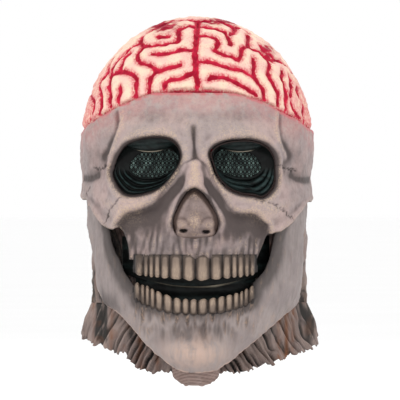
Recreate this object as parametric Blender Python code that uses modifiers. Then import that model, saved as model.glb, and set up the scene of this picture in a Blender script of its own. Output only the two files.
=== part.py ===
"""Latex skull mask with an exposed brain, worn over the whole head.

Heights in the profiles are millimetres above the throat tab's lower edge. The face looks along -Y
and +X is to the right as one faces it. The frame's origin is the underside of the crown pad, where
the mask rests on the wearer's head.
"""

import math

import bmesh
import bpy
from mathutils import Vector

MM = 0.001

# Driving dimensions, in millimetres.
CROWN_REST = 326.0      # height of the crown pad's flat underside
ROUND = 2.2             # roundness of the head's level sections; 2 is an ellipse
EQUATOR = 225.0         # height at which the cranium is widest
CROWN = 348.0           # top of the brain
HALF_WIDTH = 110.5      # half the width at the equator
FRONT = 114.0           # depth forward of the head's centre line at the equator
BACK = 126.0            # depth behind it
SKULL_THICK = 2.6
SKIN_THICK = 2.0
JAW_THICK = 2.4
GAP = 0.4               # clearance left between neighbours that are glued or clipped together
SKIN_STEP = 4.0         # how far the head skin lies inside the skull's outer surface
LIP_SIDE = 239.0        # height of the cranium's cut edge at the sides
LIP_FRONT = 274.0       # and at the middle of the forehead
LIP_BACK = 226.0        # and at the back

JAW_PIVOT_Y = 5.0       # jaw hinge axis, parallel to X
JAW_PIVOT_Z = 182.0
RIVET_RADIUS = 2.2
RIVET_HOLE_RADIUS = 2.6

SOCKET_X = 45.5
SOCKET_Z = 203.5
SOCKET_HALF_WIDTH = 32.0
SOCKET_HALF_HEIGHT = 27.0
SOCKET_TILT = math.radians(-16.0)
SOCKET_DEPTH = 20.0
SOCKET_STEP = 4.0       # how far the back wall lies behind the side wall's end
WINDOW_X = 39.0
WINDOW_Z = 207.0
WINDOW_HALF_WIDTH = 21.0
WINDOW_HALF_HEIGHT = 12.0

UPPER_TEETH = 14
LOWER_TEETH = 14
UPPER_ARC_HALF = 59.0
LOWER_ARC_HALF = 56.5
GUM_LINE = 121.0        # height where the skull's shell ends above the upper teeth

# Half-width and depth against height, by hand: (height, millimetres).
SKULL_HALF_WIDTH = [(100, 106), (150, 108.6), (180, 109.2), (196, 107.6), (212, 109.6), (225, 110.5)]
SKULL_FRONT = [(100, 112), (150, 112), (190, 111), (225, 114)]
SKULL_BACK = [(60, 92), (100, 104), (150, 118), (200, 125.5), (225, 126)]
JAW_HALF_WIDTH = [(10, 44), (21, 55), (45, 76), (68, 91), (84, 99), (109, 103), (150, 104.6), (195, 103.6)]
JAW_FRONT = [(10, 110), (28, 117), (60, 113), (85, 111), (120, 106), (195, 104)]
SKIN_FRONT = [(60, 72), (110, 78), (150, 90), (190, 104), (225, 110)]
SKIN_HALF_WIDTH = [(60, 98), (90, 98.6), (150, 100), (182, 99.4), (190, 99.8), (209, 104), (225, 106.5)]
HEM_HALF_WIDTH = [(0, 112), (45, 107), (76, 100)]
HEM_FRONT = [(0, 66), (45, 66), (76, 66)]
HEM_BACK = [(0, 112), (45, 100), (76, 92)]

COLOURS = {
    "bone": (0.42, 0.35, 0.33, 1.0),
    "brain": (0.82, 0.42, 0.40, 1.0),
    "skin": (0.26, 0.21, 0.19, 1.0),
    "tooth": (0.40, 0.32, 0.26, 1.0),
    "flesh": (0.38, 0.29, 0.27, 1.0),
    "black_latex": (0.018, 0.022, 0.020, 1.0),
    "black_mesh": (0.012, 0.012, 0.012, 1.0),
    "foam": (0.12, 0.12, 0.13, 1.0),
    "elastic": (0.03, 0.03, 0.03, 1.0),
    "rivet": (0.05, 0.05, 0.05, 1.0),
}


# --- scene helpers ---------------------------------------------------------------------------

def clear_scene():
    """Remove the default objects."""
    for old in list(bpy.data.objects):
        bpy.data.objects.remove(old, do_unlink=True)


def make_collection(name):
    """A new collection under the scene's own."""
    made = bpy.data.collections.new(name)
    bpy.context.scene.collection.children.link(made)
    return made


def material(name, roughness=0.6, metallic=0.0):
    """The Principled material of this name, made once."""
    found = bpy.data.materials.get(name)
    if found:
        return found
    made = bpy.data.materials.new(name)
    made.use_nodes = True
    shader = made.node_tree.nodes["Principled BSDF"]
    shader.inputs["Base Color"].default_value = COLOURS[name]
    shader.inputs["Roughness"].default_value = roughness
    shader.inputs["Metallic"].default_value = metallic
    made.diffuse_color = COLOURS[name]
    return made


def add_object(name, mesh, look, frame, group):
    """Link a mesh as a named part under the mask's frame."""
    made = bpy.data.objects.new(name, mesh)
    group.objects.link(made)
    mesh.materials.append(material(look))
    mesh.shade_smooth()
    mesh.set_sharp_from_angle(angle=math.radians(40))
    made.parent = frame
    return made


def solidify(part, thickness, inward=True):
    """Give an open surface its thickness, in millimetres."""
    shell = part.modifiers.new("Thickness", "SOLIDIFY")
    shell.thickness = thickness * MM
    shell.offset = -1.0 if inward else 1.0
    shell.use_even_offset = True
    shell.use_rim = True


def cut(part, cutter):
    """Take a cutter's volume out of a part."""
    opening = part.modifiers.new("Cut", "BOOLEAN")
    opening.operation = "DIFFERENCE"
    opening.solver = "EXACT"
    opening.object = cutter


# --- surfaces --------------------------------------------------------------------------------

def profile(points, height):
    """A smooth curve through hand-placed (height, value) points, level beyond both ends."""
    if height <= points[0][0]:
        return points[0][1]
    if height >= points[-1][0]:
        return points[-1][1]
    slopes = []
    for index in range(len(points)):
        before = points[max(index - 1, 0)]
        after = points[min(index + 1, len(points) - 1)]
        slopes.append((after[1] - before[1]) / (after[0] - before[0]))
    for index in range(len(points) - 1):
        (start, low), (end, high) = points[index], points[index + 1]
        if height <= end:
            span = end - start
            t = (height - start) / span
            ease = t * t * (3 - 2 * t)
            bow = t * (1 - t) * span
            return low + (high - low) * ease + bow * ((1 - t) * slopes[index] - t * slopes[index + 1])
    return points[-1][1]


def bump(x, z, middle_x, middle_z, reach_x, reach_z):
    """A soft round hill of height 1."""
    return math.exp(-((x - middle_x) / reach_x) ** 2 - ((z - middle_z) / reach_z) ** 2)


def signed_power(value, power):
    """A power that keeps the sign."""
    return math.copysign(abs(value) ** power, value)


def section_point(half_width, front, back, angle, z):
    """A point of a level section; angle 0 faces forward and grows towards +X."""
    x = half_width * signed_power(math.sin(angle), 2 / ROUND)
    depth = front if math.cos(angle) > 0 else back
    y = -depth * signed_power(math.cos(angle), 2 / ROUND)
    return Vector((x, y, z))


def section_depth(half_width, front, x):
    """How far forward a level section reaches at x."""
    return front * max(0.0, 1 - abs(x / half_width) ** ROUND) ** (1 / ROUND)


def dome_scale(z, crown=CROWN):
    """How a section shrinks above the equator."""
    if z <= EQUATOR:
        return 1.0
    rise = min(1.0, (z - EQUATOR) / (crown - EQUATOR))
    return math.sqrt(max(0.0, 1 - rise ** 2.08))


def skull_relief(x, z):
    """Bone that stands forward of the plain head surface, in millimetres."""
    side = abs(x)
    relief = 6.0 * bump(side, z, 40, 238, 30, 11)
    relief += 3.0 * bump(x, z, 0, 262, 60, 26)
    relief += 13.0 * bump(x, z, 0, 191, 14, 17)
    relief += 5.0 * bump(x, z, 0, 222, 14, 14)
    relief += 9.0 * bump(side, z, 66, 166, 26, 18)
    relief += 5.0 * bump(side, z, 80, 188, 20, 16)
    relief += 12.0 * bump(x, z, 0, 112, 48, 30)
    relief += 5.0 * bump(side, z, 18, 158, 16, 16)
    relief -= 3.0 * bump(side, z, 88, 216, 16, 14)
    return relief


def jaw_relief(x, z):
    """Bone that stands forward on the lower jaw, in millimetres."""
    side = abs(x)
    relief = 7.0 * bump(x, z, 0, 68, 40, 13)
    relief += 6.0 * bump(x, z, 0, 30, 26, 16)
    relief -= 3.0 * bump(x, z, 0, 50, 30, 10)
    relief += 3.0 * bump(side, z, 60, 60, 24, 20)
    return relief


def skull_point(angle, z, inset=0.0):
    """A point of the skull's outer surface, or inset inside it."""
    scale = dome_scale(z)
    half_width = profile(SKULL_HALF_WIDTH, z) * scale - inset
    front = profile(SKULL_FRONT, z) * scale - inset
    back = profile(SKULL_BACK, z) * scale - inset
    return section_point(max(half_width, 0.5), max(front, 0.5), max(back, 0.5), angle, z)


def face_depth(x, z):
    """How far forward the skull face's outer surface stands at x, z."""
    base = section_depth(profile(SKULL_HALF_WIDTH, z) * dome_scale(z),
                         profile(SKULL_FRONT, z) * dome_scale(z), x)
    return base + skull_relief(x, z)


def jaw_depth(x, z):
    """How far forward the jaw's outer surface stands at x, z."""
    return section_depth(profile(JAW_HALF_WIDTH, z), profile(JAW_FRONT, z), x) + jaw_relief(x, z)


def lip_height(point_y):
    """Height of the cranium's cut edge at a place from front to back."""
    if point_y < 0:
        return LIP_SIDE + (LIP_FRONT - LIP_SIDE) * min(1.0, -point_y / 112.0) ** 2
    return LIP_SIDE + (LIP_BACK - LIP_SIDE) * math.sin(min(1.0, point_y / 120.0) * math.pi / 2)


def grid_mesh(name, rows, wrap=False, cap_last=False):
    """An open surface of quads through rows of points; cap_last closes the last row with a fan."""
    sheet = bmesh.new()
    made = [[sheet.verts.new(point * MM) for point in row] for row in rows]
    count = len(made[0])
    last = count if wrap else count - 1
    for lower, upper in zip(made, made[1:]):
        for index in range(last):
            after = (index + 1) % count
            sheet.faces.new((lower[index], lower[after], upper[after], upper[index]))
    if cap_last:
        middle = sum((vert.co for vert in made[-1]), Vector()) / count
        tip = sheet.verts.new(middle)
        for index in range(count):
            sheet.faces.new((made[-1][index], made[-1][(index + 1) % count], tip))
    sheet.normal_update()
    mesh = bpy.data.meshes.new(name)
    sheet.to_mesh(mesh)
    sheet.free()
    return mesh


def loft_mesh(name, loops):
    """A closed solid through rings of points, with flat ends; rings turn the same way."""
    solid = bmesh.new()
    made = [[solid.verts.new(point * MM) for point in loop] for loop in loops]
    count = len(made[0])
    for near, far in zip(made, made[1:]):
        for index in range(count):
            after = (index + 1) % count
            solid.faces.new((near[index], near[after], far[after], far[index]))
    solid.faces.new(list(reversed(made[0])))
    solid.faces.new(made[-1])
    bmesh.ops.recalc_face_normals(solid, faces=solid.faces)
    mesh = bpy.data.meshes.new(name)
    solid.to_mesh(mesh)
    solid.free()
    return mesh


def spread(start, end, count):
    """Evenly spaced values with both ends."""
    return [start + (end - start) * index / (count - 1) for index in range(count)]


def prism(name, outline, direction, low, high, frame, group):
    """A cutter: an outline extruded along "X" or "Y" from low to high.

    Along Y the outline is (x, z); along X it is (y, z).
    """
    solid = bmesh.new()
    ends = []
    for reach in (low, high):
        if direction == "Y":
            ring = [solid.verts.new(Vector((a, reach, b)) * MM) for a, b in outline]
        else:
            ring = [solid.verts.new(Vector((reach, a, b)) * MM) for a, b in outline]
        ends.append(ring)
    count = len(outline)
    for index in range(count):
        after = (index + 1) % count
        solid.faces.new((ends[0][index], ends[0][after], ends[1][after], ends[1][index]))
    solid.faces.new(list(reversed(ends[0])))
    solid.faces.new(ends[1])
    bmesh.ops.recalc_face_normals(solid, faces=solid.faces)
    mesh = bpy.data.meshes.new(name)
    solid.to_mesh(mesh)
    solid.free()
    made = bpy.data.objects.new(name, mesh)
    group.objects.link(made)
    made.parent = frame
    made.hide_render = True
    made.display_type = "WIRE"
    return made


def socket_outline(side, scale=1.0, shrink=0.0, count=20):
    """The egg-shaped opening of an eye socket as (x, z); side is -1 or +1."""
    points = []
    for index in range(count):
        turn = 2 * math.pi * index / count
        egg = 1 + 0.10 * math.cos(turn)
        across = (SOCKET_HALF_WIDTH * scale - shrink) * math.cos(turn)
        up = (SOCKET_HALF_HEIGHT * scale - shrink) * math.sin(turn) * egg
        x = across * math.cos(SOCKET_TILT) - up * math.sin(SOCKET_TILT)
        z = across * math.sin(SOCKET_TILT) + up * math.cos(SOCKET_TILT)
        points.append((side * (SOCKET_X + x), SOCKET_Z + z))
    return points


def oval(middle_x, middle_z, half_width, half_height, count=20):
    """An oval as (x, z) points, starting at +X."""
    return [(middle_x + half_width * math.cos(2 * math.pi * index / count),
             middle_z + half_height * math.sin(2 * math.pi * index / count))
            for index in range(count)]


def nasal_outline(shrink=0.0):
    """The pear-shaped nasal opening, as (x, z) points from its tip round."""
    right = [(0, 184 - 1.6 * shrink), (7 - shrink, 177), (15 - shrink, 163), (22 - shrink, 151),
             (19 - shrink, 145 + shrink), (9, 146 + shrink)]
    left = [(-x, z) for x, z in reversed(right[1:])]
    return right + left


# --- parts on the head -----------------------------------------------------------------------

def skull_face(frame, group, cutters):
    """Forehead, temples, cheekbones and upper jaw bone as one shell."""
    rows = []
    for step in spread(0.0, 1.0, 15):
        row = []
        for angle in spread(-math.radians(104), math.radians(104), 37):
            edge = skull_point(angle, 245)
            top = lip_height(edge.y)
            z = GUM_LINE + (top - GUM_LINE) * step
            point = skull_point(angle, z)
            if point.y < 0:
                point.y -= skull_relief(point.x, z)
            row.append(point)
        rows.append(row)
    part = add_object("skull_face", grid_mesh("skull_face", rows), "bone", frame, group)
    solidify(part, SKULL_THICK)
    for side, word in ((-1, "left"), (1, "right")):
        cut(part, prism(f"socket_cut_{word}", socket_outline(side), "Y", -180, -60, frame, cutters))
        cheek = [(57, 90), (57, 112), (63, 125), (68, 141), (73, 145), (84, 142), (93, 152),
                 (103, 170), (109, 174), (130, 174), (130, 90)]
        outline = [(side * x, z) for x, z in cheek]
        cut(part, prism(f"cheek_cut_{word}", outline, "Y", -180, 60, frame, cutters))
    cut(part, prism("nasal_cut", nasal_outline(), "Y", -180, -60, frame, cutters))
    return part


def brain_cap(frame, group):
    """The rubber brain, tucked inside the skull's cut edge."""
    rows = []
    angles = [2 * math.pi * index / 32 for index in range(32)]
    for rise, tucked in ((-8.0, True), (0.8, True), (6.0, False)):
        row = []
        for angle in angles:
            z = lip_height(skull_point(angle, 245).y) + rise
            row.append(skull_point(angle, z, cap_tuck(angle) if tucked else 0.8))
        rows.append(row)
    for step in spread(0.16, 0.94, 7):
        row = []
        for angle in angles:
            low = lip_height(skull_point(angle, 245).y) + 6.0
            low_turn = math.asin((low - EQUATOR) / (CROWN - EQUATOR))
            turn = low_turn + (math.pi / 2 - low_turn) * step
            z = EQUATOR + (CROWN - EQUATOR) * math.sin(turn)
            row.append(skull_point(angle, z, inset=0.8))
        rows.append(row)
    part = add_object("brain_cap", grid_mesh("brain_cap", rows, wrap=True, cap_last=True), "brain",
                      frame, group)
    solidify(part, SKULL_THICK)
    return part


def cap_tuck(angle):
    """How far inside the skull's outer surface the brain's lower edge sits."""
    behind = min(1.0, max(0.0, (0.85 - math.cos(angle)) / 0.35))
    at_front = SKULL_THICK + 1.6
    at_rear = SKIN_STEP + SKIN_THICK + 1.4
    return at_front + (at_rear - at_front) * behind * behind * (3 - 2 * behind)


def head_skin(frame, group, cutters):
    """Rear and sides of the head, open at the front, slit up the back of the neck."""
    front_angle = math.radians(36)
    rows = []
    for step in spread(0.0, 1.0, 10):
        row = []
        for angle in spread(front_angle, 2 * math.pi - front_angle, 33):
            top = lip_height(section_point(HALF_WIDTH, FRONT, BACK, angle, 0).y) - 0.5
            z = 77 + (top - 77) * step
            scale = dome_scale(z)
            row.append(section_point(profile(SKIN_HALF_WIDTH, z) * scale,
                                     profile(SKIN_FRONT, z) * scale,
                                     (profile(SKULL_BACK, z) - SKIN_STEP) * scale, angle, z))
        rows.append(row)
    part = add_object("head_skin", grid_mesh("head_skin", rows), "skin", frame, group)
    solidify(part, SKIN_THICK)
    trim = [(-200, 60), (-200, 300), (-18, 300), (-18, 172), (-58, 150), (-63, 60)]
    cut(part, prism("front_trim", trim, "X", -150, 150, frame, cutters))
    slit = [(-3, 60), (3, 60), (1.2, 140), (-1.2, 140)]
    cut(part, prism("rear_slit", slit, "Y", 60, 160, frame, cutters))
    cut(part, rivet_hole("skin_rivet_hole", frame, cutters))
    return part


def rivet_hole(name, frame, group):
    """A cutter along the hinge axis, right through both sides."""
    turn = [2 * math.pi * index / 16 for index in range(16)]
    outline = [(JAW_PIVOT_Y + RIVET_HOLE_RADIUS * math.cos(a), JAW_PIVOT_Z + RIVET_HOLE_RADIUS * math.sin(a))
               for a in turn]
    return prism(name, outline, "X", -150, 150, frame, group)


def hem_height(angle):
    """Height of the ragged hem's lower edge; it hangs lowest at the front."""
    forward = max(0.0, math.cos(angle))
    ragged = 4.0 * math.sin(angle * 11 + 1.0) + 3.0 * math.sin(angle * 17)
    return 44 - 34 * forward ** 1.3 + ragged


def neck_fringe(name, start, end, columns, frame, group):
    """One pleated length of the hem, between two angles in degrees."""
    rows = []
    for step in spread(0.0, 1.0, 4):
        row = []
        for angle in spread(math.radians(start), math.radians(end), columns):
            low = hem_height(angle)
            z = 76 + (low - 76) * step
            pleat = 2.6 * step * math.sin(angle * 15)
            point = section_point(profile(HEM_HALF_WIDTH, z) + pleat, profile(HEM_FRONT, z) + pleat,
                                  profile(HEM_BACK, z) + pleat, angle, z)
            row.append(point)
        rows.append(row)
    rows.reverse()
    part = add_object(name, grid_mesh(name, rows), "skin", frame, group)
    solidify(part, SKIN_THICK)
    return part


def throat_tab(frame, group):
    """The neck skin below the chin, narrow at the bottom."""
    rows = []
    for z in spread(0.0, 70.0, 8):
        half = 21.0 + 3.0 * math.sin(math.pi * z / 70.0)
        row = []
        for x in spread(-half, half, 9):
            depth = 68.5 - 0.006 * x * x + 0.8 * math.sin(z * 0.9)
            row.append(Vector((x, -depth, z)))
        rows.append(row)
    part = add_object("throat_tab", grid_mesh("throat_tab", rows), "skin", frame, group)
    solidify(part, SKIN_THICK)
    return part


def eye_socket(side, word, frame, group):
    """A recessed black cup; its back wall has the window for the mesh."""
    count = 18
    rim = socket_outline(side, shrink=GAP, count=count)
    loops = []
    for scale, depth in ((1.0, 0.5), (0.95, 10.0), (0.84, SOCKET_DEPTH)):
        ring = []
        for x, z in rim:
            middle_x = side * SOCKET_X
            px = middle_x + (x - middle_x) * scale
            pz = SOCKET_Z + (z - SOCKET_Z) * scale
            front = face_depth(x, z) - depth
            level = face_depth(side * SOCKET_X, SOCKET_Z) - SOCKET_DEPTH - SOCKET_STEP
            blend = depth / SOCKET_DEPTH
            ring.append(Vector((px, -(front * (1 - blend) + level * blend), pz)))
        loops.append(ring)
    window = oval(side * WINDOW_X, WINDOW_Z, WINDOW_HALF_WIDTH, WINDOW_HALF_HEIGHT, count)
    if side < 0:
        window = [(2 * side * WINDOW_X - x, z) for x, z in window]
    level = face_depth(side * SOCKET_X, SOCKET_Z) - SOCKET_DEPTH - SOCKET_STEP
    loops.append([Vector((x, -level, z)) for x, z in window])
    if side > 0:
        loops = [list(reversed(ring)) for ring in loops]
    name = f"eye_socket_{word}"
    part = add_object(name, grid_mesh(name, loops, wrap=True), "black_latex", frame, group)
    solidify(part, 1.6)
    return part


def eye_screen(side, word, frame, group, cutters):
    """A perforated panel behind the window of its socket."""
    level = face_depth(side * SOCKET_X, SOCKET_Z) - SOCKET_DEPTH - SOCKET_STEP
    back = -level + 1.6 + GAP
    outline = oval(side * WINDOW_X, WINDOW_Z, WINDOW_HALF_WIDTH + 2.5, WINDOW_HALF_HEIGHT + 2.5, 24)
    name = f"eye_screen_{word}"
    near = [Vector((x, back, z)) for x, z in outline]
    far = [Vector((x, back + 0.8, z)) for x, z in outline]
    part = add_object(name, loft_mesh(name, [near, far]), "black_mesh", frame, group)
    for row, holes in ((-1, 3), (1, 3)):
        for index in range(holes):
            x = side * WINDOW_X + (index - 1) * 10.0
            hole = oval(x, WINDOW_Z + row * 5.0, 2.6, 2.6, 8)
            cut(part, prism(f"screen_hole_{word}_{row}_{index}", hole, "Y", back - 5, back + 5,
                            frame, cutters))
    return part


def nose_piece(frame, group):
    """The fleshy nose: a flange glued behind the nasal opening and a soft bulge through it."""
    rows = []
    for z in spread(139.0, 190.0, 14):
        row = []
        half = profile([(139, 26), (151, 28), (163, 21), (177, 13), (190, 8)], z)
        for x in spread(-half, half, 15):
            inside = nasal_inside(x, z)
            flange = face_depth(x, z) - SKULL_THICK - 3.4
            bulge = 5.0 + 15.0 * bump(x, z, 0, 153, 9, 11) + 8.0 * bump(abs(x), z, 12, 150, 5, 5)
            row.append(Vector((x, -(flange + bulge * inside), z)))
        rows.append(row)
    part = add_object("nose_piece", grid_mesh("nose_piece", rows), "flesh", frame, group)
    solidify(part, 1.8)
    return part


def nasal_inside(x, z):
    """1 well inside the nasal opening, 0 at its edge and outside."""
    half = profile([(146, 19.5), (151, 22), (163, 15), (177, 7), (184, 0)], z)
    if z < 145 or z > 184:
        return 0.0
    room = min(half - abs(x), z - 145, (184 - z) * 0.5)
    t = min(1.0, max(0.0, (room - 1.2) / 4.0))
    return t * t * (3 - 2 * t)


def teeth_strip(name, count, half, low, high, depth, frame, group, jagged):
    """A row of teeth as one joined strip; low, high and depth are functions of x."""
    per_tooth = 4
    loops = []
    for index in range(count * per_tooth + 1):
        x = -half + 2 * half * index / (count * per_tooth)
        phase = (index % per_tooth) / per_tooth
        crown = math.sin(math.pi * phase)
        front = depth(x) + 1.6 * crown
        bottom, top = low(x), high(x)
        middle = (bottom + top) / 2
        chew = bottom + 2.2 * (1 - crown) if jagged < 0 else bottom
        peak = top - 2.2 * (1 - crown) if jagged > 0 else top
        loops.append([Vector((x, -front + 1.0, chew)), Vector((x, -front - 0.8, middle)),
                      Vector((x, -front + 0.6, peak)), Vector((x, -depth(x) + 5.0, peak)),
                      Vector((x, -depth(x) + 5.0, chew))])
    return add_object(name, loft_mesh(name, loops), "tooth", frame, group)


def upper_teeth(frame, group):
    """The upper row, hung from the skull's lower edge."""
    return teeth_strip("upper_teeth", UPPER_TEETH, UPPER_ARC_HALF, lambda x: 101.0 + 0.0010 * x * x,
                       lambda x: GUM_LINE - 1.3, lambda x: face_depth(x, 118) - 1.0,
                       frame, group, -1)


def mouth_liner(name, low, high, half, depth, frame, group):
    """A black sheet behind the teeth; low and high are functions of x."""
    rows = []
    for step in spread(0.0, 1.0, 5):
        row = []
        for x in spread(-half, half, 17):
            z = low(x) + (high(x) - low(x)) * step
            row.append(Vector((x, -depth(x, z), z)))
        rows.append(row)
    part = add_object(name, grid_mesh(name, rows), "black_latex", frame, group)
    solidify(part, 1.4)
    return part


def crown_pad(frame, group):
    """A foam pad under the top of the brain; its flat underside rests on the wearer's head."""
    loops = []
    count = 24
    for radius, rise in ((40.0, 0.0), (42.0, 1.6), (42.0, None), (30.0, None), (16.0, None)):
        ring = []
        for index in range(count):
            angle = 2 * math.pi * index / count
            x = radius * math.sin(angle)
            y = -radius * math.cos(angle)
            z = CROWN_REST + rise if rise is not None else pad_ceiling(x, y)
            ring.append(Vector((x, y, z)))
        loops.append(ring)
    return add_object("crown_pad", loft_mesh("crown_pad", loops), "foam", frame, group)


def pad_ceiling(x, y):
    """Height of the crown pad's top under the brain's inner surface."""
    half_depth = FRONT if y < 0 else BACK
    reach = math.hypot(x / HALF_WIDTH, y / half_depth)
    return EQUATOR + (CROWN - EQUATOR) * math.sqrt(max(0.0, 1 - reach ** 2.0)) - SKULL_THICK - 3.0


def forehead_pad(frame, group):
    """A foam strip behind the forehead."""
    rows = []
    for z in spread(238.0, 258.0, 4):
        row = []
        for x in spread(-40.0, 40.0, 11):
            row.append(Vector((x, -(face_depth(x, z) - SKULL_THICK - 6.6 - 0.002 * x * x), z)))
        rows.append(row)
    part = add_object("forehead_pad", grid_mesh("forehead_pad", rows), "foam", frame, group)
    solidify(part, 7.0)
    return part


def jaw_rivet(side, word, frame, group):
    """A snap rivet through the head skin and the jaw's tab, on the hinge axis."""
    skin = profile(SKIN_HALF_WIDTH, JAW_PIVOT_Z)
    jaw = profile(JAW_HALF_WIDTH, JAW_PIVOT_Z)
    inner = skin - SKIN_THICK - 0.7
    outer = jaw + 0.5
    stations = ((inner - 1.4, 4.6), (inner - 0.4, 5.4), (inner, 5.4), (inner, RIVET_RADIUS),
                (outer, RIVET_RADIUS), (outer, 5.4), (outer + 0.6, 5.0))
    loops = []
    for x, radius in stations:
        ring = []
        for index in range(16):
            turn = 2 * math.pi * index / 16
            ring.append(Vector((side * x, JAW_PIVOT_Y + radius * math.cos(turn),
                                JAW_PIVOT_Z + radius * math.sin(turn))))
        loops.append(ring)
    name = f"jaw_rivet_{word}"
    return add_object(name, loft_mesh(name, loops), "rivet", frame, group)


def jaw_elastic(side, word, frame, group):
    """An elastic band inside the cheek, from the cheekbone down to the jaw."""
    rows = []
    for z in spread(126.0, 172.0, 7):
        share = (z - 126.0) / 46.0
        row = []
        for y in spread(-60.0, -50.0, 3):
            jaw_x = section_reach(profile(JAW_HALF_WIDTH, z), profile(JAW_FRONT, z), -y) - JAW_THICK
            inset = 2.2 + 1.0 * math.sin(math.pi * share)
            row.append(Vector((side * (jaw_x - inset), y, z)))
        rows.append(row if side > 0 else list(reversed(row)))
    name = f"jaw_elastic_{word}"
    part = add_object(name, grid_mesh(name, rows), "elastic", frame, group)
    solidify(part, 1.2)
    return part


def section_reach(half_width, front, depth):
    """How far sideways a level section reaches at a depth forward of the centre line."""
    return half_width * max(0.0, 1 - abs(depth / front) ** ROUND) ** (1 / ROUND)


# --- parts on the jaw ------------------------------------------------------------------------

def in_frame(point):
    """A height-based point measured from the jaw's hinge instead."""
    return point - Vector((0, JAW_PIVOT_Y, JAW_PIVOT_Z))


def jaw_shell(hinge, group, cutters, frame):
    """The lower jaw: chin, body and both branches up to the rivets."""
    rows = []
    for z in spread(12.0, 188.0, 15):
        row = []
        for angle in spread(-math.radians(102), math.radians(102), 37):
            point = section_point(profile(JAW_HALF_WIDTH, z), profile(JAW_FRONT, z), 150, angle, z)
            if point.y < 0:
                point.y -= jaw_relief(point.x, z)
            row.append(in_frame(point))
        rows.append(row)
    part = add_object("jaw_shell", grid_mesh("jaw_shell", rows), "bone", hinge, group)
    solidify(part, JAW_THICK)
    branch = [(58, 84), (61, 97), (67, 107), (75, 122), (78, 143), (82, 168), (82, 220)]
    gum = [(x, lower_gum(x)) for x in spread(-LOWER_ARC_HALF, LOWER_ARC_HALF, 13)]
    mouth = [(-x, z) for x, z in reversed(branch)] + gum + branch
    cut(part, prism("mouth_cut", mouth, "Y", -200, -20, frame, cutters))
    upper = [(-200, 168), (-200, 220), (-9, 220), (-9, 168)]
    cut(part, prism("tab_cut", upper, "X", -150, 150, frame, cutters))
    rear = [(18, 220), (18, 176), (6, 160), (-16, 146), (-40, 112), (-52, 88), (-66, 66), (-84, 45),
            (-100, 24), (-104, 0), (60, 0), (60, 220)]
    cut(part, prism("rear_cut", rear, "X", -150, 150, frame, cutters))
    cut(part, rivet_hole("jaw_rivet_hole", frame, cutters))
    return part


def place_on_jaw(part, hinge):
    """Hang a part on the hinge without moving it."""
    part.parent = hinge
    for vert in part.data.vertices:
        vert.co -= Vector((0, JAW_PIVOT_Y, JAW_PIVOT_Z)) * MM


def lower_teeth(frame, group, hinge):
    """The lower row, curving up at its ends."""
    part = teeth_strip("lower_teeth", LOWER_TEETH, LOWER_ARC_HALF, lambda x: lower_gum(x) + 1.3,
                       lambda x: lower_gum(x) + 14.5, lambda x: jaw_depth(x, lower_gum(x) - 4) - 1.0,
                       frame, group, 1)
    place_on_jaw(part, hinge)
    return part


def lower_gum(x):
    """Height where the jaw's shell ends below the lower teeth."""
    return 68.6 + 13.0 * abs(x / LOWER_ARC_HALF) ** 2.2


def chin_pad(frame, group, hinge):
    """A foam shelf inside the jaw that the wearer's chin pushes down."""
    loops = []
    for z, shrink in ((44.0, 2.0), (46.0, 0.0), (58.0, 0.0), (60.0, 2.0)):
        half = 26.0 - shrink
        front = [Vector((x, -(jaw_depth(x, z) - JAW_THICK - 2.4), z)) for x in spread(-half, half, 7)]
        rear = [Vector((x, -90.0 - shrink * 0.5 - 0.004 * x * x, z)) for x in spread(half, -half, 7)]
        loops.append(front + rear)
    part = add_object("chin_pad", loft_mesh("chin_pad", loops), "foam", frame, group)
    place_on_jaw(part, hinge)
    return part


def build():
    """Make every part of the mask."""
    clear_scene()
    group = make_collection("latex_skull_mask")
    cutters = make_collection("cutters")
    frame = bpy.data.objects.new("mask_frame", None)
    frame.location = (0, 0, -CROWN_REST * MM)
    group.objects.link(frame)
    hinge = bpy.data.objects.new("jaw_hinge_axis", None)
    hinge.location = (0, JAW_PIVOT_Y * MM, JAW_PIVOT_Z * MM)
    hinge.parent = frame
    group.objects.link(hinge)

    skull_face(frame, group, cutters)
    brain_cap(frame, group)
    head_skin(frame, group, cutters)
    neck_fringe("neck_fringe_right", 16, 96, 27, frame, group)
    neck_fringe("neck_fringe_rear_right", 97, 178, 25, frame, group)
    neck_fringe("neck_fringe_rear_left", 182, 263, 25, frame, group)
    neck_fringe("neck_fringe_left", 264, 344, 27, frame, group)
    throat_tab(frame, group)
    for side, word in ((-1, "left"), (1, "right")):
        eye_socket(side, word, frame, group)
        eye_screen(side, word, frame, group, cutters)
        jaw_rivet(side, word, frame, group)
        jaw_elastic(side, word, frame, group)
    nose_piece(frame, group)
    upper_teeth(frame, group)
    mouth_liner("mouth_liner_upper", lambda x: 96.5, lambda x: 140.0, 70.0,
                lambda x, z: section_depth(92, 104, x) - 8.0, frame, group)
    crown_pad(frame, group)
    forehead_pad(frame, group)

    jaw_shell(hinge, group, cutters, frame)
    lower_teeth(frame, group, hinge)
    lower = mouth_liner("mouth_liner_lower", lambda x: lower_gum(x) - 2.0, lambda x: 94.0, 52.0,
                        lambda x, z: section_depth(88, 104, x) - 6.0, frame, group)
    place_on_jaw(lower, hinge)
    chin_pad(frame, group, hinge)


build()
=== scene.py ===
"""Looks of the latex skull mask: its visible pieces, their materials, the light and the camera.

Sizes are millimetres. Heights are above the throat tab's lower edge, as in the part's source, and
to_frame() turns them into the frame's metres. The face looks along -Y and +X is to the right.
"""

import math

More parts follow.
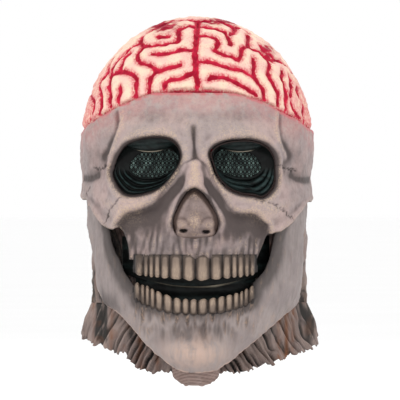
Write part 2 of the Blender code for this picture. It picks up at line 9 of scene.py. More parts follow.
import bpy
import numpy as np
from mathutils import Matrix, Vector


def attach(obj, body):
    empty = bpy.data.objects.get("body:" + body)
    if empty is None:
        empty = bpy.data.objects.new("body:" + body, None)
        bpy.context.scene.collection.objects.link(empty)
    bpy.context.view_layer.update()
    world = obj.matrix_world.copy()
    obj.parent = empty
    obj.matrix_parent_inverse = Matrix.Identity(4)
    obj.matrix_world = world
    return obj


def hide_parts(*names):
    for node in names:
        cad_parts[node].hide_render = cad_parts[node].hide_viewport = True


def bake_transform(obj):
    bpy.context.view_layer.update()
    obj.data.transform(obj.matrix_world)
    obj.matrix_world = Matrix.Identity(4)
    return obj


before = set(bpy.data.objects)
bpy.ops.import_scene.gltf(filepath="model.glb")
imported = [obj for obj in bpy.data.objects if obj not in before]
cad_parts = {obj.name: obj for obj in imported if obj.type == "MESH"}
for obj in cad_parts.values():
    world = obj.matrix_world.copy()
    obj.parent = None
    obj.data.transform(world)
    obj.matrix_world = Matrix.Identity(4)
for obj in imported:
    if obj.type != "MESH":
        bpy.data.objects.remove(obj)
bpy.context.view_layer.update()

MM = 0.001

# Driving dimensions, the same as the part's or within a millimetre or two of them.
DATUM = 326.0           # height of the frame's origin: the crown pad's underside
ROUND = 2.2             # roundness of the head's level sections; 2 is an ellipse
EQUATOR = 225.0         # height at which the cranium is widest
CROWN = 348.0           # top of the brain
LIP_SIDE = 239.0        # height of the cranium's cut edge at the sides
LIP_FRONT = 274.0       # and at the middle of the forehead
LIP_BACK = 226.0        # and at the back
SKULL_THICK = 2.6
JAW_THICK = 2.2
SKIN_STEP = 4.0         # how far the head skin lies inside the skull's outer surface
LOWER_ARC_HALF = 56.5
WINDOW_MIDDLE = (38.5, 208.5)   # each eye window: its middle, half its size and its slant
WINDOW_REACH = (23.5, 13.0)
WINDOW_TILT = math.radians(-12)
VIEW_TURN = math.radians(1.0)   # the front view is taken this far to the right of dead ahead
FLOOR = -45.0                   # the mask hangs this far clear of the floor
SHIFT = math.sin(VIEW_TURN) * 114       # sideways move of front-view points as deep as the teeth

# Half-width and depth against height: (height, millimetres).
SKULL_HALF_WIDTH = [(100, 106), (150, 108.6), (180, 109.2), (196, 107.6), (212, 109.6), (225, 110.5)]
SKULL_FRONT = [(100, 112), (150, 112), (190, 111), (225, 114)]
SKULL_BACK = [(60, 92), (100, 104), (150, 118), (200, 125.5), (225, 126)]
JAW_HALF_WIDTH = [(10, 44), (21, 55), (45, 76), (68, 91), (84, 99), (109, 103), (150, 104.6), (195, 103.6)]
JAW_FRONT = [(10, 110), (28, 117), (60, 113), (85, 111), (120, 106), (195, 104)]
JAW_BACK = 150.0
SKIN_FRONT = [(60, 72), (110, 78), (150, 90), (190, 104), (225, 110)]
SKIN_HALF_WIDTH = [(60, 98), (90, 98.6), (150, 100), (182, 99.4), (190, 99.8), (209, 104), (225, 106.5)]
HEM_HALF_WIDTH = [(0, 112), (45, 107), (76, 99.2)]
HEM_FRONT = 66.0
HEM_BACK = [(0, 112), (45, 100), (76, 92)]

# Bone that stands forward: (height, middle x, middle z, reach x, reach z), on both sides.
SKULL_HILLS = [(6, 40, 238, 30, 11), (3, 0, 262, 60, 26), (13, 0, 191, 14, 17), (5, 0, 222, 14, 14),
               (9, 66, 166, 26, 18), (5, 80, 188, 20, 16), (12, 0, 112, 48, 30), (5, 18, 158, 16, 16),
               (-3, 88, 216, 16, 14)]
JAW_HILLS = [(7, 0, 68, 40, 13), (6, 0, 30, 26, 16), (-3, 0, 50, 30, 10), (3, 60, 60, 24, 20)]

# Outlines and lines of the face as (x, z) in the front view.
SOCKET_LEFT = [(-78, 204), (-74, 215), (-66, 225), (-54.5, 230), (-41, 232), (-28, 231), (-20, 226),
               (-15.5, 218), (-16, 209.5), (-21, 200), (-27, 192), (-35, 185), (-45, 181), (-56, 178.5),
               (-65.5, 179), (-72, 184), (-77, 192), (-79, 198)]
SOCKET_RIGHT = [(12, 216), (15, 222), (21, 226), (31.5, 229), (44, 230), (54, 229), (64, 225), (70, 219),
                (73.5, 211), (74, 203), (73.5, 192.5), (70.5, 184), (65, 178), (59.5, 176), (53, 178),
                (42.5, 179), (31.5, 183), (23, 190), (18, 197), (15, 205)]
NASAL = [(-2, 185), (6, 180), (10, 175.5), (14.5, 169), (19, 161), (21, 153), (20, 146), (16, 141),
         (8, 139.5), (-2, 139.5), (-12, 139.5), (-20, 142), (-23, 149), (-23, 157), (-20, 165), (-15.5, 174),
         (-10, 181)]
CHEEK_LEFT = [(-56, 95), (-57.5, 104), (-60, 113), (-65.6, 116), (-66, 124), (-68, 134), (-71, 143),
              (-75, 148), (-80, 146), (-84, 147), (-89, 150), (-95, 158), (-100, 166), (-104.5, 174)]
CHEEK_RIGHT = [(51, 95), (53, 104), (57, 114), (61, 124), (63, 130), (66, 141), (73, 143), (78, 144),
               (85, 148), (91, 153), (95, 157), (100, 165), (105, 172)]
SUTURE_LEFT = [(-1, 213), (-7, 210), (-13, 206), (-17, 198), (-22, 192), (-28, 186), (-33, 179),
               (-39, 171), (-47, 167), (-56, 164), (-65.5, 161), (-74, 152)]
SUTURE_RIGHT = [(-1, 213), (4, 209.5), (9, 204), (12, 197), (16, 190), (21, 180), (27, 171), (33, 164),
                (42, 161), (54, 160), (66, 150)]
GLABELLA = [(-3.6, 241), (-2.7, 226), (-2, 215)]
TEMPLE_LEFT = [(-74, 255), (-74, 248), (-76.5, 238), (-80, 231), (-83, 221), (-87, 215)]
TEMPLE_RIGHT = [(78, 254), (78, 243), (79, 233), (82, 225), (86, 215)]
CRACKS = [
    [(-68, 176), (-72, 175), (-75, 170.5), (-81, 165), (-84, 158), (-86, 150)],
    [(-99, 186), (-102, 181.5), (-104, 177)],
    [(51, 176), (57, 173), (66, 172), (71, 170), (76.5, 166), (82, 164), (85, 159), (91, 156)],
    [(74, 206), (79, 206), (83, 203), (87.5, 203), (93, 202)],
    [(-79, 205), (-85, 206), (-90, 203), (-97, 204)],
]
NOTCH_LEFT = [(-107, 194), (-100, 194), (-93, 197)]
NOTCH_RIGHT = [(89, 197), (96, 193), (107, 193)]
ARCH_LEFT = [(-70, 168), (-84, 172), (-96, 180), (-107, 187)]
ARCH_RIGHT = [(68, 166), (82, 169), (95, 176), (107, 185)]

# Tooth boundaries across the front view, and heights along the rows as (x, z).
UPPER_EDGES = [-58, -50, -45, -40, -34, -25.5, -13.5, -1.3, 12.4, 23.7, 32, 37.6, 43.8, 49, 54]
LOWER_EDGES = [-59, -53, -48.5, -44, -39, -31.6, -22.4, -14, -7, 0.6, 10.3, 18.6, 26.3, 33.5, 39.2, 43.3,
               47.9, 53.6]
UPPER_BITE = [(-58, 104), (-28, 101), (0, 99.2), (28, 101), (54, 104)]
LOWER_BITE = [(-56, 97), (-46.5, 94), (-36, 89), (-28, 86), (-19, 83), (-3, 82), (14, 83), (29, 86),
              (41, 89), (50, 94)]

# The jaw's free edge, up each side from the chin, and the front edge of each branch.
JAW_EDGE_LEFT = [(-20, 16), (-33, 26), (-49, 39.5), (-64, 57), (-76, 69), (-86, 75), (-92, 85),
                 (-95, 93), (-96.5, 109), (-100, 128), (-102.5, 144)]
JAW_EDGE_RIGHT = [(20, 15), (24, 18), (34.5, 25), (45, 34), (60, 46), (76, 59), (89, 70), (96, 75.5),
                  (99, 88), (100.5, 108.5), (101, 124), (101.5, 141)]
BRANCH_LEFT = [(-57, 92), (-63, 99), (-69, 108.5), (-74, 119), (-79.5, 129), (-82.5, 146)]
BRANCH_RIGHT = [(51, 93), (55, 99), (63, 107.5), (67.5, 117), (70, 129), (73, 142.5)]
JAW_TAB = [(-9, 170), (-9, 189), (18, 189), (18, 176), (6, 160)]    # (y, z) of the hinge tab's edge

# Grooves of the brain as (x, z) in the front view.
BRAIN_GROOVES = [
    [(1, 344), (-0.5, 325), (-2, 313), (-1, 304), (-1.5, 294), (1, 284), (1.4, 275)],
    [(-2.5, 338), (-9, 339), (-15, 336), (-18, 333), (-17, 329), (-18, 325), (-22, 323), (-34, 321),
     (-46, 320), (-51, 319), (-55, 314), (-57, 309), (-54, 304), (-47, 302), (-41, 298), (-39.5, 294.5),
     (-43, 290), (-45, 282), (-45, 272), (-44, 268)],
    [(-5, 315), (-13, 316), (-22, 313.5), (-32, 311.5), (-42, 312.6)],
    [(-39.5, 294.5), (-30, 297), (-22, 299), (-16, 301)],
    [(-2, 294), (-8, 291), (-16, 288), (-24, 287), (-28.5, 285), (-30, 281), (-30, 274)],
    [(-51, 319), (-54, 324), (-53, 329)],
    [(-54, 324), (-61, 320), (-67, 314), (-73, 309), (-79, 302), (-82, 296), (-83, 288)],
    [(-64, 313), (-69, 308), (-72, 302), (-74, 295)],
    [(-83, 288), (-80, 293), (-73, 295), (-66, 294.5), (-60, 291), (-57.6, 287), (-58, 279), (-58, 271),
     (-57.6, 264)],
    [(-74, 280), (-73, 276), (-75, 269), (-75, 259)],
    [(-83, 288), (-84, 281), (-83, 273), (-83, 265), (-82, 256)],
    [(-74, 316), (-80, 309.5), (-84, 302), (-85, 298), (-86, 293), (-91.5, 288), (-93.5, 281), (-92, 274),
     (-91, 268), (-91.5, 260), (-95, 252), (-97, 247)],
    [(-101, 277), (-102, 272), (-99, 268), (-99, 260), (-102, 252), (-102.5, 244)],
    [(-2.5, 344), (-10, 345), (-26, 343), (-34, 340), (-45, 334)],
    [(-37, 329), (-34, 328), (-27, 329)],
    [(3, 338), (9.5, 338), (18, 336), (26, 333), (30, 327), (32, 321)],
    [(31.5, 331), (36, 335), (35, 338)],
    [(3, 329), (9.5, 329.5), (15, 328), (19, 325), (20, 321), (17, 316), (22, 312), (31.5, 310), (39, 306),
     (42, 313), (43, 317), (48.5, 319), (53, 317), (61, 313), (67, 308), (75, 307), (81, 305)],
    [(48.5, 319), (49, 325), (48.5, 330)],
    [(3, 305), (11, 304), (21, 301), (31.5, 298), (42, 296), (48.5, 293), (54, 289), (59.5, 283), (63, 276),
     (64, 264)],
    [(54, 308), (54, 299), (54, 292)],
    [(11, 287), (13, 289), (22, 289), (31.5, 287), (41, 282), (48.5, 278), (56, 272)],
    [(67, 307), (69, 300), (68, 291), (72, 284), (76, 276.5), (77, 270.5), (77, 260)],
    [(82, 296), (81, 289), (83, 282), (85, 276), (85, 269), (85, 257)],
    [(89, 291), (90, 282), (89, 272)],
    [(96, 283), (96, 275), (99, 268)],
    [(60, 321), (64, 315.5), (71, 311)],
    [(84, 303), (88, 298), (93, 293)],
    [(90, 265), (93, 258), (98, 251)],
    [(4, 343.5), (15, 344), (26, 342), (34, 338), (41, 338), (48, 333)],
    [(102, 264), (101, 255), (104, 246)],
]


# --- places and curves -----------------------------------------------------------------------

def to_frame(points):
    """Millimetres with heights above the throat tab to the frame's metres."""
    moved = np.array(points, float)
    moved[..., 2] -= DATUM
    return moved * MM


def profile(points, at):
    """A smooth curve through given (place, value) points, level beyond both ends."""
    knots, values = np.array(points, float).T
    slopes = np.empty_like(values)
    slopes[1:-1] = (values[2:] - values[:-2]) / (knots[2:] - knots[:-2])
    slopes[0] = (values[1] - values[0]) / (knots[1] - knots[0])
    slopes[-1] = (values[-1] - values[-2]) / (knots[-1] - knots[-2])
    at = np.clip(at, knots[0], knots[-1])
    index = np.clip(np.searchsorted(knots, at) - 1, 0, len(knots) - 2)
    span = knots[index + 1] - knots[index]
    t = (at - knots[index]) / span
    ease = t * t * (3 - 2 * t)
    bow = t * (1 - t) * span
    rise = values[index + 1] - values[index]
    return values[index] + rise * ease + bow * ((1 - t) * slopes[index] - t * slopes[index + 1])


def smooth(value, low, high):
    """0 up to low, 1 from high on, and an S between."""
    t = np.clip((value - low) / (high - low), 0, 1)
    return t * t * (3 - 2 * t)


def fade(value, low, high):
    """1 up to low, 0 from high on, and an S between."""
    return 1 - smooth(value, low, high)


def joined(*parts):
    """Coordinates, or whole arrays of them, side by side in a last axis."""
    return np.stack(np.broadcast_arrays(*parts), -1)


def unit(vectors):
    """The same directions with length 1."""
    return vectors / np.maximum(np.linalg.norm(vectors, axis=-1, keepdims=True), 1e-9)


def bump(x, z, middle_x, middle_z, reach_x, reach_z):
    """A soft round hill of height 1."""
    return np.exp(-((x - middle_x) / reach_x) ** 2 - ((z - middle_z) / reach_z) ** 2)


def hills(x, z, table):
    """Bumps given as (height, middle x, middle z, reach x, reach z), the same on both sides."""
    side = np.abs(x)
    return sum(height * bump(side, z, *place) for height, *place in table)


def ridge(distance, width):
    """1 on a line, falling away beside it."""
    return np.exp(-(distance / width) ** 2)


def curve(points, closed=False, per=5):
    """A smooth line through given points."""
    points = np.array(points, float)
    if closed:
        points = np.vstack([points[-1:], points, points[:2]])
    else:
        points = np.vstack([2 * points[:1] - points[1:2], points, 2 * points[-1:] - points[-2:-1]])
    t = (np.arange(per) / per)[:, None]
    line = []
    for a, b, c, d in zip(points, points[1:], points[2:], points[3:]):
        line.append(0.5 * (2 * b + (c - a) * t + (2 * a - 5 * b + 4 * c - d) * t ** 2
                           + (3 * b - a - 3 * c + d) * t ** 3))
    line = np.vstack(line)
    return line if closed else np.vstack([line, points[-2]])


def line_distance(points, line):
    """Shortest distance from each point to an open line, in any number of dimensions."""
    best = np.full(points.shape[:-1], np.inf)
    for start, end in zip(line, line[1:]):
        along = end - start
        t = np.clip((points - start) @ along / max(along @ along, 1e-9), 0, 1)
        gap = points - start - t[..., None] * along
        best = np.minimum(best, np.einsum("...i,...i->...", gap, gap))
    return np.sqrt(best)


def outline_distance(points, outline):
    """Distance from each (u, v) to a closed outline, negative inside it."""
    u, v = points[..., 0], points[..., 1]
    inside = np.zeros(u.shape, bool)
    ring = np.vstack([outline, outline[:1]])
    for (au, av), (bu, bv) in zip(ring, ring[1:]):
        crosses = ((av > v) != (bv > v)) & (u < (bu - au) * (v - av) / (bv - av + 1e-9) + au)
        inside ^= crosses
    away = line_distance(points, ring)
    return np.where(inside, -away, away)


def waves(points, length, seed, count=22):
    """A smooth random field of about unit size with one wavelength, the same on every run."""
    dice = np.random.default_rng(seed)
    total = np.zeros(points.shape[:-1])
    for _ in range(count):
        heading = dice.normal(size=points.shape[-1])
        heading *= 2 * math.pi / (length * np.linalg.norm(heading))
        total += np.cos(points @ heading + dice.uniform(0, 2 * math.pi))
    return total * math.sqrt(2 / count)


def blurred(field, reach, wrap=False):
    """A grid's values averaged over a square of neighbours."""
    window = 2 * reach + 1
    for axis in (0, 1):
        pad = [(0, 0), (0, 0)]
        pad[axis] = (reach + 1, reach)
        mode = "wrap" if wrap and axis == 1 else "edge"
        sums = np.cumsum(np.pad(field, pad, mode=mode), axis=axis)
        ahead = np.take(sums, range(window, sums.shape[axis]), axis)
        behind = np.take(sums, range(0, sums.shape[axis] - window), axis)
        field = (ahead - behind) / window
    return field


# --- the head's surfaces ---------------------------------------------------------------------

def section(angle, half_width, front, back):
    """x and y on a level section; angle 0 faces forward and grows towards +X."""
    across, ahead = np.sin(angle), np.cos(angle)
    x = half_width * np.sign(across) * np.abs(across) ** (2 / ROUND)
    depth = np.where(ahead > 0, front, back)
    return x, -depth * np.sign(ahead) * np.abs(ahead) ** (2 / ROUND)


# Arc length round a section of ordinary size, so that a grid's columns are evenly spaced.
TURNS = np.linspace(0, math.pi, 1441)
CHART_WIDTH = 108.5
ROUND_X, ROUND_Y = section(TURNS, CHART_WIDTH, 113.0, 122.0)
ARCS = np.concatenate([[0.0], np.cumsum(np.hypot(np.diff(ROUND_X), np.diff(ROUND_Y)))])


def angle_at(arc):
    """The direction of a place round the section."""
    return np.sign(arc) * np.interp(np.abs(arc), ARCS, TURNS)


def arc_at(angle):
    """The way round the section to a direction."""
    return np.sign(angle) * np.interp(np.abs(angle), TURNS, ARCS)


def dome_scale(z):
    """How a section shrinks above the equator."""
    rise = np.clip((z - EQUATOR) / (CROWN - EQUATOR), 0, 1)
    return np.sqrt(np.maximum(0.0, 1 - rise ** 2.08))


def lip_height(y):
    """Height of the cranium's cut edge at a place from front to back."""
    ahead = LIP_SIDE + (LIP_FRONT - LIP_SIDE) * np.clip(-y / 112.0, 0, 1) ** 2
    behind = LIP_SIDE + (LIP_BACK - LIP_SIDE) * np.sin(np.clip(y / 120.0, 0, 1) * math.pi / 2)
    return np.where(y < 0, ahead, behind)


def skull_relief(x, z):
    """Bone that stands forward of the plain head surface."""
    return hills(x, z, SKULL_HILLS)


def jaw_relief(x, z):
    """Bone that stands forward on the lower jaw."""
    return hills(x, z, JAW_HILLS)


def section_depth(half_width, front, x):
    """How far forward a level section reaches at x."""
    return front * np.maximum(0.0, 1 - np.abs(x / half_width) ** ROUND) ** (1 / ROUND)


def plain_depth(x, z):
    """How far forward the skull stands at x, z without its relief."""
    scale = dome_scale(z)
    return section_depth(profile(SKULL_HALF_WIDTH, z) * scale, profile(SKULL_FRONT, z) * scale, x)


def face_depth(x, z):
    """How far forward the skull stands at x, z."""
    return plain_depth(x, z) + skull_relief(x, z)


def jaw_depth(x, z):
    """How far forward the jaw stands at x, z."""
    return section_depth(profile(JAW_HALF_WIDTH, z), profile(JAW_FRONT, z), x) + jaw_relief(x, z)


def skull_width(z):
    """Half-width of the skull at a height."""
    return profile(SKULL_HALF_WIDTH, z) * dome_scale(z)


def jaw_width(z):
    """Half-width of the jaw at a height."""
    return profile(JAW_HALF_WIDTH, z)


def plain_surface(arc, z, inset=0.0):
    """The skull without its relief, inset by this much."""
    scale = dome_scale(z)
    x, y = section(angle_at(arc), skull_width(z) - inset, profile(SKULL_FRONT, z) * scale - inset,
                   profile(SKULL_BACK, z) * scale - inset)
    return joined(x, y, z)


def skull_surface(arc, z):
    """The skull's outer surface."""
    x, y, z = np.moveaxis(plain_surface(arc, z), -1, 0)
    return joined(x, y - skull_relief(x, z) * np.clip(-y / 12.0, 0, 1), z)


def jaw_surface(arc, z):
    """The jaw's outer surface."""
    x, y = section(angle_at(arc), jaw_width(z), profile(JAW_FRONT, z), JAW_BACK)
    y = y - jaw_relief(x, z) * np.clip(-y / 12.0, 0, 1)
    return joined(x, y, z)


def chart(arc, z, width):
    """Arc and height as lengths measured on the surface."""
    return joined(arc * width(z) / CHART_WIDTH, z)


def seen(points, width, depth):
    """Listed points of the front view as places on the chart of a surface."""
    x, z = np.array(points, float).T
    x = x + math.sin(VIEW_TURN) * depth(x, z)
    angle = np.arcsin(np.clip(np.abs(x) / width(z), 0, 1) ** (ROUND / 2))
    return joined(np.sign(x) * arc_at(angle) * width(z) / CHART_WIDTH, z)


def from_side(points, side, width, front, back):
    """(y, z) points of the side view as places on the chart of a surface."""
    y, z = np.array(points, float).T
    ahead = np.arccos(np.clip(-y / profile(front, z), 0, 1) ** (ROUND / 2))
    behind = math.pi / 2 + np.arcsin(np.clip(y / back, 0, 1) ** (ROUND / 2))
    return joined(side * arc_at(np.where(y < 0, ahead, behind)) * width(z) / CHART_WIDTH, z)


def normals(surface, arc, z):
    """Outward unit normals of a surface."""
    step = 0.4
    along = surface(arc + step, z) - surface(arc - step, z)
    up = surface(arc, z + step) - surface(arc, z - step)
    return unit(np.cross(along, up))


def trim(arc, z, field, spacing):
    """Move the grid points just past a cut edge onto it, and say which points carry faces.

    field is the distance from the edge, positive on the material.
    """
    distance = field(arc, z)
    step = 0.4
    slope_a = (field(arc + step, z) - field(arc - step, z)) / (2 * step)
    slope_z = (field(arc, z + step) - field(arc, z - step)) / (2 * step)
    size = np.maximum(slope_a ** 2 + slope_z ** 2, 0.3)
    keep = distance >= 0.3 * spacing
    near = ~keep & (distance > -2.5 * spacing)
    pull = np.where(near, distance / size, 0.0)
    return arc - pull * slope_a, z - pull * slope_z, keep


# --- making pieces ---------------------------------------------------------------------------

def placed(name, data):
    """A new object in the scene."""
    made = bpy.data.objects.new(name, data)
    bpy.context.scene.collection.objects.link(made)
    return made


def thicken(made, thickness):
    """Give a surface this much thickness behind it."""
    shell = made.modifiers.new("Thickness", "SOLIDIFY")
    shell.thickness = thickness * MM
    shell.offset = -1.0


def add_grid(name, points, keep=None, wrap=False, cap=False, floor=False, paint=None):
    """A smooth mesh of quads through rows of points, with painted values on its points.

    cap closes the last row round a middle point, and floor closes the first.
    """
    rows, columns = points.shape[:2]
    index = np.arange(rows * columns).reshape(rows, columns)
    if wrap:
        index = np.concatenate([index, index[:, :1]], axis=1)
    quads = joined(index[:-1, :-1], index[:-1, 1:], index[1:, 1:], index[1:, :-1]).reshape(-1, 4)
    if keep is not None:
        quads = quads[keep.reshape(-1)[quads].any(axis=1)]
    used, places = np.unique(quads, return_inverse=True)
    spots = points.reshape(-1, 3)[used].tolist()
    faces = places.reshape(-1, 4).tolist()
    ends = []
    if cap:
        ends.append(index[-1])
    if floor:
        ends.append(index[0, ::-1])
    for ring in ends:
        for near, far in zip(ring, ring[1:]):
            faces.append((int(near), int(far), len(spots)))
        spots.append(points.reshape(-1, 3)[ring[1:]].mean(axis=0).tolist())
    mesh = bpy.data.meshes.new(name)
    mesh.from_pydata(to_frame(spots).tolist(), [], faces)
    for label, values in (paint or {}).items():
        layer = mesh.attributes.new(label, "FLOAT", "POINT")
        own = values.reshape(-1)[used]
        own = np.concatenate([own, np.full(len(spots) - len(own), own[-1])])
        layer.data.foreach_set("value", own.astype(np.float32))
    mesh.shade_smooth()
    return placed(name, mesh)


def join_body(made, look, slot, body, *nodes, thickness=0.0):
    """Give a piece its look, its thickness inwards, its body and the CAD nodes it stands for."""
    made.data.materials.append(look)
    if thickness:
        thicken(made, thickness)
    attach(made, body)
    if nodes:
        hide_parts(*nodes)


def grid(columns_from, columns_to, rows_from, rows_to, spacing):
    """Evenly spaced columns and rows about spacing apart, as two arrays."""
    across = np.linspace(columns_from, columns_to, int(abs(columns_to - columns_from) / spacing) + 2)
    up = np.linspace(rows_from, rows_to, int(abs(rows_to - rows_from) / spacing) + 2)
    return np.meshgrid(across, up)


def sheet(left, right, tall, spacing):
    """A grid whose rows are shares of its height."""
    across, up = grid(left, right, 0, tall, spacing)
    return across, up / tall


class Look:
    """A procedural material; its methods add nodes and give back their outputs."""

    def __init__(self, name, roughness, specular=0.5):
        self.material = bpy.data.materials.new(name)
        self.material.use_nodes = True
        self.nodes = self.material.node_tree.nodes
        self.links = self.material.node_tree.links
        self.shader = self.nodes["Principled BSDF"]
        self.shader.inputs["Specular IOR Level"].default_value = specular
        self.shader.inputs["Roughness"].default_value = roughness
        self.place = self.nodes.new("ShaderNodeTexCoord").outputs["Object"]

    def feed(self, socket, value):
        """Link an output to a socket, or set the socket's own value."""
        if isinstance(value, bpy.types.NodeSocket):
            self.links.new(value, socket)
        else:
            socket.default_value = value

    def noise(self, size, detail=4.0, stretch=(1, 1, 1), rough=0.55):
        """Noise of about this size in millimetres; stretch lengthens it along an axis."""
        turn = self.nodes.new("ShaderNodeMapping")
        self.links.new(self.place, turn.inputs["Vector"])
        turn.inputs["Scale"].default_value = [1 / part for part in stretch]
        made = self.nodes.new("ShaderNodeTexNoise")
        self.links.new(turn.outputs["Vector"], made.inputs["Vector"])
        made.inputs["Scale"].default_value = 1 / (size * MM)
        made.inputs["Detail"].default_value = detail
        made.inputs["Roughness"].default_value = rough
        return made.outputs["Fac"]

    def cells(self, size):
        """Distance to the middle of foam cells of about this size in millimetres."""
        made = self.nodes.new("ShaderNodeTexVoronoi")
        self.links.new(self.place, made.inputs["Vector"])
        made.inputs["Scale"].default_value = 1 / (size * MM)
        return made.outputs["Distance"]

    def paint(self, label):
        """Values painted on the points of the mesh."""
        made = self.nodes.new("ShaderNodeAttribute")
        made.attribute_name = label
        return made.outputs["Fac"]

    def blend(self, value, low, high):
        """0 below low, 1 above high."""
        made = self.nodes.new("ShaderNodeMapRange")
        made.interpolation_type = "SMOOTHSTEP"
        self.feed(made.inputs["Value"], value)
        made.inputs["From Min"].default_value = low
        made.inputs["From Max"].default_value = high
        return made.outputs["Result"]

    def sums(self, kind, first, second, third=0.0):
        """One step of arithmetic."""
        made = self.nodes.new("ShaderNodeMath")
        made.operation = kind
        for socket, value in zip(made.inputs, (first, second, third)):
            self.feed(socket, value)
        return made.outputs["Value"]

    def times(self, first, second, more=None):
        """The product of two values, with this much more added."""
        if more is None:
            return self.sums("MULTIPLY", first, second)
        return self.sums("MULTIPLY_ADD", first, second, more)

    def rough_edged(self, label, noise):
        """Painted values made uneven by a noise."""
        return self.times(noise, 0.5, self.sums("SUBTRACT", self.paint(label), 0.25))

    def patches(self, size, low, high, first, second, detail=3):
        """Patches of a second colour."""
        return self.mix(self.blend(self.noise(size, detail), low, high), first, second)

    def mix(self, share, first, second):
        """From the first colour to the second."""
        made = self.nodes.new("ShaderNodeMix")
        made.data_type = "RGBA"
        self.feed(made.inputs["Factor"], share)
        self.feed(made.inputs[6], first)
        self.feed(made.inputs[7], second)
        return made.outputs[2]

    def relief(self, height, distance, strength=1.0):
        """Bump of this many millimetres."""
        made = self.nodes.new("ShaderNodeBump")
        made.inputs["Strength"].default_value = strength
        made.inputs["Distance"].default_value = distance * MM
        self.links.new(height, made.inputs["Height"])
        self.links.new(made.outputs["Normal"], self.shader.inputs["Normal"])

    def colour(self, value):
        """The colour of the surface."""
        self.feed(self.shader.inputs["Base Color"], value)

    def uneven(self, value, least):
        """Roughness that varies by 0.3 above its least value."""
        self.feed(self.shader.inputs["Roughness"], self.times(value, 0.3, least))


def rgb(red, green, blue):
    """A screen colour, 0 to 255, as linear light."""
    return tuple((part / 255 / 12.92) if part <= 10 else ((part / 255 + 0.055) / 1.055) ** 2.4
                 for part in (red, green, blue)) + (1.0,)


def latex(name, base, second, dark, warm, deep, rosy=None, roughness=0.62, streak=(1, 1, 1)):
    """Cast latex with a dark wash and painted shade in its hollows, creases and gaps, and dry-brushed edges.

    The painted values are dark (wash and painted shade), warm (dry brush, with painted highlights on the
    teeth) and line (cracks, seams and some painted shadow), and rosy where that colour is given.
    """
    look = Look(name, roughness, 0.32)
    broad = look.noise(26, 3)
    fine = look.noise(3.2, 5, streak)
    mottle = look.noise(8, 5, streak)
    shade = look.mix(look.blend(broad, 0.38, 0.62), base, second)
    speck = look.times(look.blend(fine, 0.46, 0.76), 0.2)
    shade = look.mix(speck, shade, dark)
    # the dark value: a wash together with painted shade in hollows, creases, gaps and under overhangs
    wash_and_shade = look.rough_edged("dark", mottle)
    shade = look.mix(look.times(look.blend(wash_and_shade, -0.05, 1.0), 0.95), shade, dark)
    brush = look.noise(1.5, 5, streak, 0.65)
    dry = look.times(look.paint("warm"), look.blend(brush, 0.34, 0.7))
    shade = look.mix(look.times(look.blend(dry, 0.0, 0.9), 0.62), shade, warm)
    if rosy:
        flush = look.times(look.paint("rosy"), look.blend(mottle, 0.3, 0.6))
        shade = look.mix(flush, shade, rosy)
    shade = look.mix(look.paint("line"), shade, deep)
    look.colour(shade)
    look.uneven(fine, roughness - 0.15)
    grain = look.times(look.noise(0.9, 3), 0.45, look.noise(4, 4, streak))
    look.relief(grain, 0.55, 0.55)
    return look.material


# --- the head --------------------------------------------------------------------------------

def crown_of(x, edges, power=0.6):
    """0 between two teeth, 1 at the middle of one."""
    edges = np.array(edges) + SHIFT
    index = np.clip(np.searchsorted(edges, x) - 1, 0, len(edges) - 2)
    phase = np.clip((x - edges[index]) / (edges[index + 1] - edges[index]), 0, 1)
    return np.sin(math.pi * phase) ** power


def relief_paint(relief, reach, height, wrap=False):
    """Dark wash and painted shade for the hollows, and dry brush for the high places of a relief."""
    stands = (relief - blurred(blurred(relief, reach, wrap), reach, wrap)) / height
    return np.clip(-stands, 0, 1), np.clip(stands, 0, 1)


def latex_paint(dark, warm, line, rosy=None):
    """The painted values that latex() reads."""
    paint = {"dark": dark, "warm": warm, "line": np.clip(line, 0, 1)}
    return paint if rosy is None else {**paint, "rosy": rosy}


def on_skull(points, closed=False, per=4):
    """A smooth front-view line on the skull's chart."""
    return curve(seen(points, skull_width, face_depth), closed, per)


def skull_openings():
    """Eye sockets, nasal opening and the space behind each cheekbone, on the skull's chart."""
    far = 260.0
    cheeks = []
    for side, points in ((-1, CHEEK_LEFT), (1, CHEEK_RIGHT)):
        edge = on_skull(points)
        top = edge[-1][1]
        cheeks.append(np.vstack([edge, [(side * far, top), (side * far, 60), (side * 50, 60)]]))
    return (on_skull(SOCKET_LEFT, True), on_skull(SOCKET_RIGHT, True)), on_skull(NASAL, True), cheeks


def upper_gum(x):
    """Height of the skull's scalloped edge above the upper teeth."""
    return 118.6 + 3.6 * crown_of(x, UPPER_EDGES, 0.9) * smooth(-np.abs(x), -60, -56)


